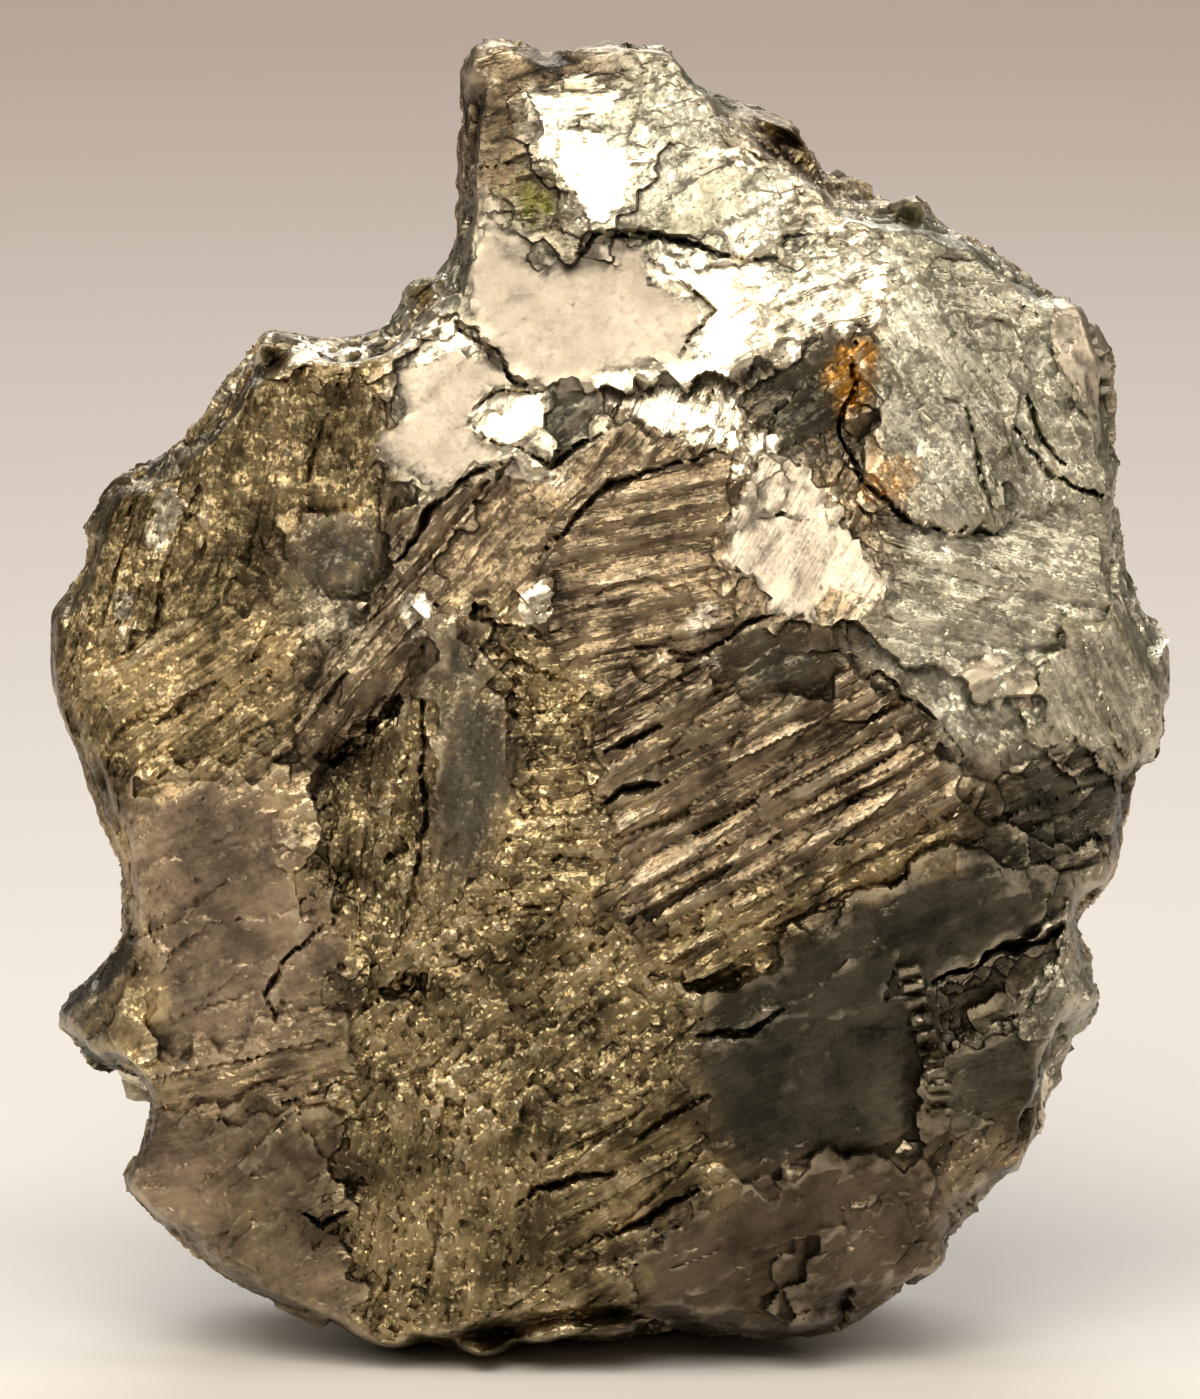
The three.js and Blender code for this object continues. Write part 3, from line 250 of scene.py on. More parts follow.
    dict(finish="grey", shade=1.25, lift=0.9, tilt=(-0.05, -0.03), crumb=0.35, bands=(-15, 1.5, 0.14),
         edge=[(14.5, 40.2), (19.1, 40.7), (22.6, 42.1), (25.7, 41.7), (26.4, 37.8), (22.6, 36.2),
               (22, 34.2), (17.6, 34.1), (14.6, 34.7), (13.5, 37.1)]),
    dict(finish="grey", shade=1.4, lift=1.2, tilt=(-0.2, 0.02), crumb=0.3, bands=(-66, 1.0, 0.14),
         edge=[(22, 35.2), (26.5, 37), (28.3, 34.8), (28.5, 30.2), (26.1, 28.5), (24, 29.7),
               (21.5, 30.2), (21.3, 33.2)]),
    dict(finish="grey", shade=1.1, lift=1.5, tilt=(0, -0.15), crumb=0.1,
         edge=[(17.25, 33.2), (19, 34.2), (19.8, 34.9), (21.3, 34), (21.2, 32.7), (19.9, 32),
               (17.6, 32.2)]),
    dict(finish="grey", shade=1.15, lift=0.7, tilt=(0.05, 0.02), crumb=0.2, bands=(-50, 0.9, 0.06),
         edge=[(11.1, 34.5), (14.6, 34.6), (17.5, 34.1), (17.6, 32.1), (21.1, 32.3), (21.5, 30.1),
               (17.6, 28.4), (14.6, 32.3), (12, 34.3)]),
    dict(finish="dark", shade=0.7, lift=1, tilt=(0, 0.12), crumb=0, bands=(25, 0.9, 0.03),
         edge=[(5.4, 34.5), (7.5, 33.95), (9.5, 34.7), (11, 34.5), (11.1, 33.2), (8.6, 32.45),
               (6.3, 32.7)]),
    dict(finish="tarnish", shade=0.95, lift=1.1, tilt=(0, 0.08), crumb=0.2, bands=(29, 1.1, 0.7),
         edge=[(-0.4, 29.2), (1.5, 32.2), (4.6, 34.2), (6.3, 32.7), (11.1, 32.8), (12.1, 34.2),
               (14.6, 32.3), (17.6, 29.2), (17.6, 27.2), (14.6, 25.7), (9.6, 23.7), (4.6, 21.7),
               (1.5, 21.2), (0.5, 24.2)]),
    dict(finish="gold", shade=0.75, lift=0.7, tilt=(0, 0.14), crumb=0.3, bands=(28, 1.3, 0.40),
         edge=[(1.5, 21.2), (4.6, 21.7), (9.6, 23.7), (14.6, 25.7), (19.1, 27.8), (19.6, 27.2),
               (16.6, 24.7), (12.1, 22.7), (7.6, 20.2), (4.1, 18.2), (1.5, 19.2)]),
    dict(finish="dark", shade=0.75, lift=-0.4, tilt=(-0.12, 0.2), crumb=0.2, bands=(20, 1.1, 0.30),
         edge=[(17.5, 27.2), (21.6, 30), (26, 28.6), (25.7, 24.7), (22.6, 24.2), (19.6, 25.2)]),
    dict(finish="grey", shade=1.15, lift=0.6, tilt=(-0.1, 0), crumb=0, bands=(68, 0.5, 0.20),
         edge=[(22.25, 23.2), (23.5, 24.7), (25.5, 24.8), (25.5, 23.1), (24, 22), (22.8, 21.4)]),
    dict(finish="dark", shade=0.6, lift=0.8, tilt=(-0.06, 0.12), crumb=0.05, bands=(25, 1.4, 0.03),
         edge=[(7.6, 19.2), (12.1, 22.2), (17.1, 24.7), (20.1, 25.1), (22.6, 23.7), (22.8, 21.5),
               (19.5, 19.4), (16, 18.3), (16.6, 15.2), (15.6, 11.7), (14.6, 9.8), (10.6, 10),
               (7.6, 8.2), (5.6, 9.7), (4.1, 14.2), (4.6, 16.7)]),
    dict(finish="grey", shade=1.25, lift=1.2, tilt=(0, -0.05), crumb=0, bands=(14, 0.8, 0.02),
         edge=[(14.15, 19.2), (15.3, 19.2), (16.7, 14.7), (16.7, 12.3), (17.5, 11.5), (15.8, 11.2),
               (15.4, 13.2), (14.7, 15.2)]),
    dict(finish="grey", shade=0.95, lift=0.9, tilt=(-0.15, -0.1), crumb=0.2, bands=(60, 1.0, 0.08),
         edge=[(22.8, 21.1), (24.3, 19.3), (24.7, 17.3), (22.6, 14.8), (20.6, 15.7), (21.6, 17.8)]),
    dict(finish="dark", shade=0.6, lift=0.8, tilt=(-0.1, 0.12), crumb=0.1, bands=(14, 1.0, 0.05),
         edge=[(16.8, 14.2), (20.1, 15.5), (22, 14.2), (22.1, 12.2), (18.6, 11.5), (17.1, 11.3)]),
    dict(finish="tarnish", shade=0.8, lift=0.4, tilt=(-0.12, 0.1), crumb=0.4, bands=(40, 0.9, 0.15),
         edge=[(16.6, 9.7), (22.1, 12.3), (22.1, 10.7), (19, 7.2), (16.8, 6.4), (16, 8.2)]),
    dict(finish="mauve", shade=0.5, lift=0.5, tilt=(-0.04, 0.2), crumb=0.1, bands=(25, 1.3, 0.05),
         edge=[(2.1, 5.7), (7.6, 8), (10.6, 9.8), (14.6, 9.5), (16, 8.2), (16.1, 6.5), (12.6, 7.7),
               (9.6, 4.2), (8.1, 0.3), (4, 0.2), (1.5, 0.3), (0.6, 3.2)]),
    dict(finish="mauve", shade=0.6, lift=0.9, tilt=(-0.08, 0.14), crumb=0.2, bands=(40, 1.0, 0.06),
         edge=[(12.6, 7.7), (16.1, 6.5), (17.4, 5.3), (16.9, 3.7), (13.7, 2.2), (11.1, 0.7), (8.1, 0.3),
               (8.6, 3.2), (10.1, 5.2)]),
    dict(finish="gold", shade=0.8, lift=0.6, tilt=(0.02, 0.02), crumb=1.0, bands=(40, 0.9, 0.08),
         edge=[(-8.9, 22.2), (-5.4, 20.7), (-2.4, 22.2), (1.5, 19.2), (4.1, 16.7), (4.1, 14.2),
               (1.5, 13.2), (-2.4, 12.2), (-7.9, 13.2), (-11.4, 14.2), (-13.4, 17.2), (-10.4, 19.2)]),
    dict(finish="gold", shade=0.85, lift=0.6, tilt=(0.05, 0.05), crumb=0.9, bands=(78, 0.9, 0.08),
         edge=[(-13.9, 10.7), (-7.9, 12.7), (-2.4, 11.7), (-2.4, 7.2), (-4.4, 3.7), (-6.9, -0.2),
               (-10.7, -0.5), (-11.9, 1.2), (-10.6, 3.2), (-12.7, 5.4), (-11, 7.4), (-13.2, 8.4)]),
    dict(finish="gold", shade=0.8, lift=0.9, tilt=(-0.02, 0.08), crumb=0.5, bands=(28, 1.4, 0.35),
         edge=[(-2.4, 11.7), (1.5, 12.7), (4.6, 13.2), (5.6, 9.7), (4.6, 7.7), (1.5, 5.7), (-2.4, 4.7),
               (-3.4, 7.2)]),
    dict(finish="gold", shade=0.8, lift=0.7, tilt=(0.02, 0.1), crumb=0.6, bands=(30, 0.9, 0.12),
         edge=[(-6.9, -0.3), (-4.4, 3.7), (-0.4, 4.7), (1.5, 2.3), (1.5, 0.2), (-2.5, 0.05), (-5, -0.7)]),
    dict(finish="tarnish", shade=1.2, lift=0.6, tilt=(0.05, 0.12), crumb=0.35, bands=(15, 0.8, 0.20),
         edge=[(-23.2, 14.2), (-18.4, 15.2), (-13.9, 17.2), (-13.4, 15.2), (-15.4, 12.7), (-19.4, 11.7),
               (-23.3, 11.4)]),
    dict(finish="tarnish", shade=0.78, lift=1.2, tilt=(0.1, 0.08), crumb=0.3, bands=(40, 1.0, 0.04),
         edge=[(-20.4, 11.7), (-15.9, 12.7), (-13.9, 10.7), (-13.9, 7.7), (-14.9, 7.2), (-16.4, 5.2),
               (-17.7, 3.1), (-19.2, 7.2)]),
    dict(finish="mauve", shade=1.45, lift=0.6, tilt=(0.18, 0.02), crumb=0.1, bands=(12, 0.9, 0.12),
         edge=[(-24.6, 8.7), (-23.1, 11.4), (-19.7, 11.7), (-18.9, 9.7), (-20.4, 8.9), (-23.5, 7.5)]),
    dict(finish="mauve", shade=1.35, lift=0.3, tilt=(0.15, 0.2), crumb=0.2, bands=(12, 0.9, 0.08),
         edge=[(-23.5, 7.5), (-20.9, 7.8), (-18.9, 5.2), (-17.9, 2.9), (-20.2, 3.9)]),
    dict(finish="mauve", shade=1.45, lift=0.6, tilt=(0.05, 0.25), crumb=0.3, bands=(30, 0.9, 0.05),
         edge=[(-17.4, 2.5), (-16, 4), (-13.9, 4.3), (-12.9, 2.7), (-13.2, 0.6), (-15.7, 1.6)]),
    dict(finish="dark", shade=0.85, lift=0.3, tilt=(0.25, 0.1), crumb=0.2, bands=(60, 0.9, 0.05),
         edge=[(-27.7, 16.4), (-25.75, 18.9), (-24, 20.5), (-22.9, 19.7), (-24.1, 18), (-24.9, 16.2),
               (-24.5, 14.2), (-25.55, 14), (-26.7, 14.9)]),
    dict(finish="gold", shade=1.35, lift=1.1, tilt=(-0.25, -0.2), crumb=0.2, bands=(60, 0.8, 0.03),
         edge=[(-24.9, 16.2), (-24.1, 18), (-22.9, 19.7), (-22.6, 17.3), (-22.7, 14.2), (-23.6, 13.5),
               (-24.5, 14.1)]),
]

# Cracks that gape: their width, depth and line. Hollows where plates fell out: their depth and outline.
CRACKS = [
    (0.7, 1.2, [(-1.75, 54.4), (-0.5, 55.4), (1.5, 55.5), (4, 54.8), (6.75, 54.1)]),
    (0.8, 1.6, [(-5.2, 44.2), (-7, 43.4), (-9, 41.55), (-10.7, 39)]),
    (0.6, 1.2, [(-3.5, 39.2), (-2.5, 40.5), (-0.5, 42.5), (1.6, 43.6), (4.1, 44.15), (5.6, 45)]),
    (0.5, 1, [(1.5, 34.8), (4.5, 34.7), (6.6, 36.2), (8.1, 36.5)]),
    (0.9, 1.6, [(-0.6, 27.1), (0.6, 27.9), (2.8, 28.3)]),
    (0.8, 1.5, [(-0.4, 29.7), (1.1, 30.5), (2.7, 31.2)]),
    (0.8, 1.2, [(-15.4, 7), (-14.2, 6.5), (-12.8, 6.9)]),
    (0.3, 0.9, [(12.4, 50.1), (11.9, 47.7), (11.3, 45.7), (12.6, 43), (14.6, 41.2), (17, 40.6), (19, 41.2)]),
    (0.8, 1.4, [(20.6, 47.5), (21.2, 45.5), (22.4, 43.8)]),
    (0.5, 1.2, [(19.9, 45.8), (21.5, 43.8), (23.1, 42.7), (24.5, 42.4), (25.7, 42.8)]),
    (0.5, 1.2, [(-9.25, 32.3), (-9.3, 29.3), (-9.2, 26.3), (-9.5, 23.7)]),
    (0.5, 1.1, [(-14.2, 21.2), (-15.9, 19.6), (-17.1, 17.8), (-16.7, 16.2)]),
    (0.6, 1, [(4.4, 15.9), (6.8, 15.8), (8.8, 17.1)]),
    (0.6, 1.1, [(-4.9, 7.2), (-3.4, 8.2), (-1.9, 8.6), (0.6, 8.7)]),
    (0.7, 1.2, [(-0.4, 5.7), (2.1, 6.7), (4.7, 8.5)]),
    (0.9, 1.8, [(16, 18.3), (19.5, 19.9), (21.5, 20.4), (23.3, 21.6)]),
    (0.35, 0.6, [(-6.9, 46.6), (-5.2, 47.6), (-3.1, 47.5)]),
    (0.4, 0.8, [(-6.8, 45.7), (-5, 44.9), (-2.9, 44), (-1.5, 44.9), (0.3, 46)]),
    (0.4, 0.8, [(-7.8, 51), (-5.8, 49.7), (-5, 48.4), (-3.1, 47.6)]),
    (0.3, 0.5, [(1.8, 54), (4.4, 52.2), (5, 51.6), (4.1, 50.4), (3.5, 48.8)]),
    (0.3, 0.5, [(7.3, 41.2), (8.6, 41.6), (9.6, 41)]),
    (0.35, 0.6, [(16.2, 47.4), (17.6, 47), (18.2, 44.6), (18.6, 42.6), (19.4, 41.2)]),
    (0.35, 0.6, [(11.2, 32.8), (13.5, 33.6), (16.2, 31.2), (17.5, 29.4)]),
]
HOLLOWS = [
    (2.6, [(-14.9, 29.4), (-10.4, 32.8), (-10.2, 31.5), (-13.8, 28.8)]),
    (1.8, [(-11.3, 24.2), (-10.2, 25.7), (-9.7, 25.4), (-10.6, 24)]),
    (2.2, [(-11.9, 17.9), (-10.5, 18.5), (-8.9, 19.2), (-9.3, 17.4), (-10.9, 17.3)]),
    (1.5, [(16, 18.1), (19.5, 19.4), (22.6, 21.1), (22.4, 18), (20.1, 15.8), (17, 14.4), (16.5, 15.3)]),
]

# The ladder: short bright twin bands, one above the other, across a line on the dark face
LADDER = [(14.7, 19.2), (15.4, 16.6), (16.2, 13.6), (16.4, 11.6)]
RUNGS = 10
RUNG_WIDTH = 0.75  # mm to either side of the line
RUNG_RISE = 0.45  # mm

# Patches where the tarnished skin has split away and fresh metal shows
PATCHES = [
    ("fresh", [(-4.2, 62.8), (-3.5, 62.5), (-2.7, 62.8), (-2, 63.4), (-1.4, 63.4), (-0.8, 63),
           (-0.3, 62.4), (0.2, 61.8), (0, 61.2), (-0.7, 61.2), (-1.6, 61.3), (-2.6, 61.2), (-3.4, 60.8),
           (-4.2, 61.2), (-4.2, 61.9)]),
    ("fresh", [(-3.6, 60), (-2.9, 60.4), (-2, 60.6), (-1.2, 61), (-0.3, 60.7), (0.6, 59.8), (1.6, 59.4),
           (1.8, 58.6), (1.4, 57.8), (0.6, 56.9), (0, 56.3), (-0.4, 55.9), (-1.2, 56), (-1.9, 56.6),
           (-2.5, 57.5), (-2.9, 58.6), (-3.2, 59.4)]),
    ("fresh", [(4.4, 59.7), (5.6, 59.8), (6.8, 59.7), (7.5, 59), (7.2, 58.6), (6.2, 59.1), (4.7, 59.4)]),
    ("fresh", [(8.6, 58.5), (9.8, 58.2), (11, 57.6), (12, 57.2), (13.5, 56.9), (13, 56.2), (12.8, 55.2),
           (12.4, 54.7), (11.2, 55), (10.3, 54.8), (9.7, 55.8), (8.8, 56.3), (8.1, 57.2), (8, 58.1)]),
    ("fresh", [(1.6, 54.1), (2.8, 54.8), (4, 54.7), (5.6, 54.4), (6.6, 54.7), (7.6, 53.8), (8.2, 53.2),
           (9.8, 53.1), (11, 53.6), (12.4, 54), (13, 53.8), (13.6, 53.1), (14.6, 52.7), (14.8, 52.2),
           (13.5, 51.4), (12.4, 50.9), (11, 50.6), (10, 50.3), (9.8, 49.7), (9, 49.2), (8, 49),
           (7, 48.8), (6, 48.7), (4.8, 49.4), (4.1, 50.2), (4.7, 51.4), (4.5, 52.2), (3.1, 52.2),
           (2.5, 52.8), (1.8, 53.6)]),
    ("fresh", [(-1, 48), (0.5, 48.5), (2.5, 49), (4.1, 49.2), (5.1, 49.2), (6.1, 48.6), (6.8, 47.9),
           (6.6, 46.9), (7.1, 46.1), (6.6, 44.6), (5.3, 44.3), (4, 44.8), (2.5, 45.5), (1, 46.3),
           (-0.4, 47.2)]),
    ("fresh", [(6.4, 44.4), (7, 45.3), (8.4, 45.5), (8.8, 45.1), (7.7, 44), (6.9, 43.3), (6.1, 43.3)]),
    ("fresh", [(-6.9, 46.6), (-5.2, 47.6), (-3.1, 47.6), (-3.1, 46.4), (-2.9, 44.6), (-5, 45),
           (-6.8, 45.8)]),
    ("fresh", [(-5.2, 44.6), (-3, 44), (-2.7, 43.6), (-2.9, 43), (-4.4, 43.3), (-6.2, 43.1),
           (-6.3, 43.4), (-5.2, 44)]),
    ("fresh", [(-11, 50.4), (-10, 51.9), (-9.8, 53), (-9, 53.2), (-8, 52.6), (-8, 51.5), (-7, 51.2),
           (-5.8, 49.7), (-6.6, 49.2), (-7.9, 49.8), (-8.6, 49.7), (-9.2, 49.3), (-10.2, 48.9),
           (-10.6, 49.5)]),
    ("fresh", [(-18.2, 48.9), (-17.6, 50.1), (-16.8, 50.9), (-15.8, 50.9), (-15.2, 50.5), (-14.7, 49.9),
           (-13.9, 50.1), (-12.7, 50.2), (-11.7, 50.2), (-11.5, 49.5), (-12.5, 48.9), (-13.7, 48.8),
           (-15.1, 48.9), (-16.6, 49.1), (-17.4, 48.8)]),
    ("fresh", [(-4.2, 37.4), (-3.4, 38), (-2.8, 37.8), (-2.7, 37.2), (-3, 36.3), (-3.8, 36),
           (-4.4, 36.6)]),
    ("fresh", [(-10.5, 37.3), (-10, 37.8), (-8.9, 37.6), (-8.8, 36.7), (-9, 35.6), (-10.1, 35.6),
           (-10.4, 36.3)]),
    ("fresh", [(10.4, 42.9), (11.3, 43.2), (11.6, 42.4), (10.8, 42.4)]),
    ("fresh", [(-23, 40.3), (-22.6, 42.3), (-21.9, 42.9), (-21.3, 42), (-21.6, 40.8), (-22.5, 39.3)]),
    ("fresh", [(-24.5, 37.3), (-23.9, 37.6), (-23.8, 35.8), (-24.2, 35.2)]),
    ("rosy", [(-6.9, 58), (-5.7, 57.5), (-5.6, 56.3), (-5, 55.6), (-4.1, 55.6), (-3.8, 54.7),
           (-3.8, 54.1), (-2.2, 53.9), (-1.2, 54.6), (0, 55.2), (0.9, 55.3), (1.6, 54.6), (1.8, 53.6),
           (3.1, 52.2), (4.7, 52.2), (5, 51.6), (4.1, 50.4), (3.6, 48.8), (2.5, 49), (1.5, 49.2),
           (0.3, 48.6), (-1.2, 47.5), (-3, 47.6), (-5.1, 48.4), (-5.7, 49.7), (-6.9, 51), (-7, 53.1),
           (-6.6, 55.4)]),
    ("rosy", [(-9.2, 49.3), (-7.9, 49.8), (-6.6, 49.2), (-5.8, 49.7), (-5.2, 48.5), (-4.4, 48.1),
           (-5.6, 47.6), (-6.8, 46.6), (-6.8, 45.8), (-5.4, 45), (-5.4, 44.4), (-7.2, 43.4),
           (-8.4, 42.7), (-9.4, 43.2), (-10.8, 43.8), (-11.6, 44.2), (-11.2, 45.4), (-10.4, 46),
           (-10.8, 47.4), (-10.6, 48.7)]),
    ("rosy", [(6.1, 41.6), (6.5, 42.1), (7, 43.2), (7.7, 43.8), (8.4, 44.5), (9, 44.5), (10, 43.7),
           (10.2, 42.9), (10.9, 42.4), (11.7, 41.8), (11.8, 40.9), (12.2, 40), (12.8, 39.6),
           (13.3, 38.8), (13.6, 38.4), (12.9, 37.6), (12.1, 37.6), (11.3, 38), (10.6, 37.6),
           (10.2, 36.8), (10.1, 36.2), (9.2, 36.2), (8.2, 36), (7.8, 37), (7.4, 38), (6.6, 38.2),
           (6.1, 38.8), (5.8, 39.6), (6, 40.8)]),
    ("rosy", [(17.2, 33.5), (17.8, 34.3), (18.8, 34.8), (19.6, 35), (19.8, 34), (19, 33.3),
           (18.2, 32.3), (17.4, 32.6)]),
    ("rosy", [(19.5, 33.3), (20.2, 34), (21, 33.9), (21.4, 33), (21, 32), (20, 32.1)]),
    ("rosy", [(3.7, 36.4), (5, 37.2), (5.6, 37.2), (5, 36.2), (4, 35), (3.4, 35.2)]),
    ("rosy", [(4.2, 34.4), (4.9, 34.6), (5.3, 33.9), (4.8, 33.5)]),
    ("rosy", [(21.8, 51.2), (22.4, 52.4), (23.6, 52), (24.4, 50.4), (25, 48.6), (24.3, 47.6),
           (23.6, 47.7), (22.6, 48.4), (21.9, 49.4)]),
    ("olive", [(-4.8, 57.3), (-4.1, 58.1), (-3.1, 58.1), (-2.6, 57.4), (-2.9, 56.5), (-3.75, 56.15),
           (-4.6, 56.55)]),
    ("amber", [(13.6, 44.7), (14.5, 43.2), (14.5, 41.7), (13.8, 41.3), (13.3, 42.7), (13.5, 44)]),
    ("amber", [(10.9, 46.8), (12.9, 50.2), (13.2, 49.6), (12.2, 47.4), (11.4, 45.6)]),
    ("gold", [(-24.9, 17.3), (-23, 19.6), (-22.6, 18.3), (-22.7, 16.3), (-23, 14.2), (-24.1, 13.7),
           (-25.2, 14.4), (-24.2, 14.8), (-24.6, 16.3)]),
    ("gold", [(4.7, 63.2), (6.2, 62.4), (8, 61.8), (9, 61), (9.8, 60.2), (10.8, 59), (12, 57.8),
           (11.8, 57.6), (10.6, 58.1), (9.1, 59.2), (7.6, 60.2), (6.2, 61.4), (5, 62.5)]),
]
SPLIT = 0.12  # mm that a fresh patch stands proud
CALM = 0.7  # how much flatter it is than the faces around it


def chance(seed, cells):
    """A steady random number from 0 to 1 for each row of whole numbers."""
    mixed = np.full(len(cells), 2654435761 * (seed + 1) % 2**32, dtype=np.uint32)
    for column in cells.T:
        mixed ^= column.astype(np.int64).astype(np.uint32)
        mixed *= np.uint32(2246822519)
        mixed ^= mixed >> np.uint32(15)
        mixed *= np.uint32(3266489917)
        mixed ^= mixed >> np.uint32(13)
    return mixed / 2.0**32


def swell(seed, points, size):
    """Smooth noise from -1 to 1 whose swells are about size mm across."""
    grid = points / size
    corner = np.floor(grid).astype(np.int64)
    part = ramp(grid - corner, 0, 1)
    total = np.zeros(len(points))
    for step in itertools.product((0, 1), repeat=points.shape[1]):
        weight = np.prod(np.where(step, part, 1 - part), axis=1)
        total += weight * chance(seed, corner + np.array(step))
    return 2 * total - 1


def rough(seed, points, size):
    """Swells of three sizes, each half as wide and half as high as the last."""
    return sum(swell(seed + k, points, size / 2**k) / 2**k for k in range(3)) / 1.75


def near_cells(seed, points, size):
    """Each cell around the points in turn, with its middle and the way to it, in mm."""
    corner = np.floor(points / size).astype(np.int64)
    axes = range(points.shape[1])
    for step in itertools.product((-1, 0, 1), repeat=points.shape[1]):
        cell = corner + np.array(step)
        middle = size * (cell + np.column_stack([chance(seed + axis, cell) for axis in axes]))
        yield cell, middle, np.linalg.norm(points - middle, axis=1)


def grains(seed, points, size):
    """The grain that each point lies in, by its cell and its middle, and the way to its edge in mm."""
    nearest = np.full(len(points), np.inf)
    second = np.full(len(points), np.inf)
    home = np.zeros(points.shape, dtype=np.int64)
    centre = np.zeros(points.shape)
    for cell, middle, away in near_cells(seed, points, size):
        nearer = away < nearest
        second = np.where(nearer, nearest, np.minimum(second, away))
        nearest = np.where(nearer, away, nearest)
        home[nearer] = cell[nearer]
        centre[nearer] = middle[nearer]
    return home, centre, (second - nearest) / 2


def depth_inside(outline, u, v):
    """How far each place lies inside an outline, in mm, and negative outside it."""
    nearest = np.full(len(u), np.inf)
    inside = np.zeros(len(u), dtype=bool)
    for (u0, v0), (u1, v1) in zip(outline, outline[1:] + outline[:1]):
        du, dv = u1 - u0, v1 - v0
        along = np.clip(((u - u0) * du + (v - v0) * dv) / (du * du + dv * dv), 0, 1)
        nearest = np.minimum(nearest, np.hypot(u - u0 - along * du, v - v0 - along * dv))
        if dv:
            inside ^= ((v0 > v) != (v1 > v)) & (u < u0 + du * (v - v0) / dv)
    return np.where(inside, nearest, -nearest)


def way_to_line(line, u, v):
    """The way from each place to a line, in mm, and the share of the line's points that is passed there."""
    nearest = np.full(len(u), np.inf)
    passed = np.zeros(len(u))
    for number, ((u0, v0), (u1, v1)) in enumerate(zip(line, line[1:])):
        du, dv = u1 - u0, v1 - v0
        along = np.clip(((u - u0) * du + (v - v0) * dv) / (du * du + dv * dv), 0, 1)
        away = np.hypot(u - u0 - along * du, v - v0 - along * dv)
        passed = np.where(away < nearest, (number + along) / (len(line) - 1), passed)
        nearest = np.minimum(nearest, away)
    return nearest, passed


def close_to(outline, u, v, margin):
    low, high = np.min(outline, axis=0) - margin, np.max(outline, axis=0) + margin
    return np.flatnonzero((u > low[0]) & (u < high[0]) & (v > low[1]) & (v < high[1]))


def terraces(seed, across, pitch, rise):
    """Uneven saw teeth across twin bands."""
    edge = np.cumsum(pitch * np.random.default_rng(seed).uniform(0.35, 1.65, 400)) - 200 * pitch
    height = np.random.default_rng(seed + 1).uniform(0.25, 1.0, 400)
    band = np.clip(np.searchsorted(edge, across), 1, 399)
    share = (across - edge[band - 1]) / (edge[band] - edge[band - 1])
    return rise * height[band] * np.where(share < 0.25, share / 0.25, (1 - share) / 0.75)


def ragged(places, grain):
    """Places on the show face, shifted so that edges break unevenly from grain to grain."""
    flat = places[:, :2]
    shift = np.column_stack([rough(11, flat, 2.5), rough(17, flat, 2.5)])
    _, middles, _ = grains(19, flat, grain)
    return flat + 0.75 * (middles - flat) + 0.4 * shift


SPAN = 3.0  # mm around a face over which it can claim a place
FACE_CHIP, PATCH_CHIP, HOLLOW_CHIP = 1.2, 0.6, 0.5  # mm across the chips along their edges
CRUMB = 0.5  # mm across a grain of a crumbled face


def by_zone(places):
    """The zone of each place, how far its plane stands out, and its depth in every finish."""
    u, v = ragged(places, FACE_CHIP).T
    zone = np.full(len(places), -1)
    best = np.full(len(places), -SPAN)
    finish_depth = {face["finish"]: np.full(len(places), -SPAN) for face in ZONES}
    soft = 0.12 + 1.2 * ramp(rough(13, places[:, :2], 5.0), -0.25, 0.5)  # mm over which faces run together
    share, level = np.zeros(len(places)), np.zeros(len(places))
    for number, face in enumerate(ZONES):
        near = close_to(face["edge"], u, v, SPAN)
        depth = depth_inside(face["edge"], u[near], v[near])
        weight = np.exp(depth / soft[near])
        share[near] += weight
        level[near] += weight * plane_of(face, places[near, 0], places[near, 1])
        deeper = depth > best[near]
        best[near] = np.maximum(best[near], depth)
        zone[near[deeper]] = number
        kind = finish_depth[face["finish"]]
        kind[near] = np.maximum(kind[near], depth)
    level = np.where(zone >= 0, level / np.maximum(share, 1e-30), places[:, 2])
    return zone, level, finish_depth


def by_patch(places):
    u, v = ragged(places, PATCH_CHIP).T
    depth = {name: np.full(len(places), -SPAN) for name, _ in PATCHES}
    for name, outline in PATCHES:
        near = close_to(outline, u, v, SPAN)
        depth[name][near] = np.maximum(depth[name][near], depth_inside(outline, u[near], v[near]))
    return depth


def plane_of(face, u, v):
    low, high = np.min(face["edge"], axis=0), np.max(face["edge"], axis=0)
    u0, v0 = (low + high) / 2
    across, up = (u0 - MIDDLE[0]) / REACH[0], (v0 - MIDDLE[1]) / REACH[1]
    level = CROWN - FALL[0] * across**2 - FALL[1] * up**2 + face["lift"]
    slope_u = face["tilt"][0] - 2 * FALL[0] * across / REACH[0]
    slope_v = face["tilt"][1] - 2 * FALL[1] * up / REACH[1]
    return level + slope_u * (u - u0) + slope_v * (v - v0)


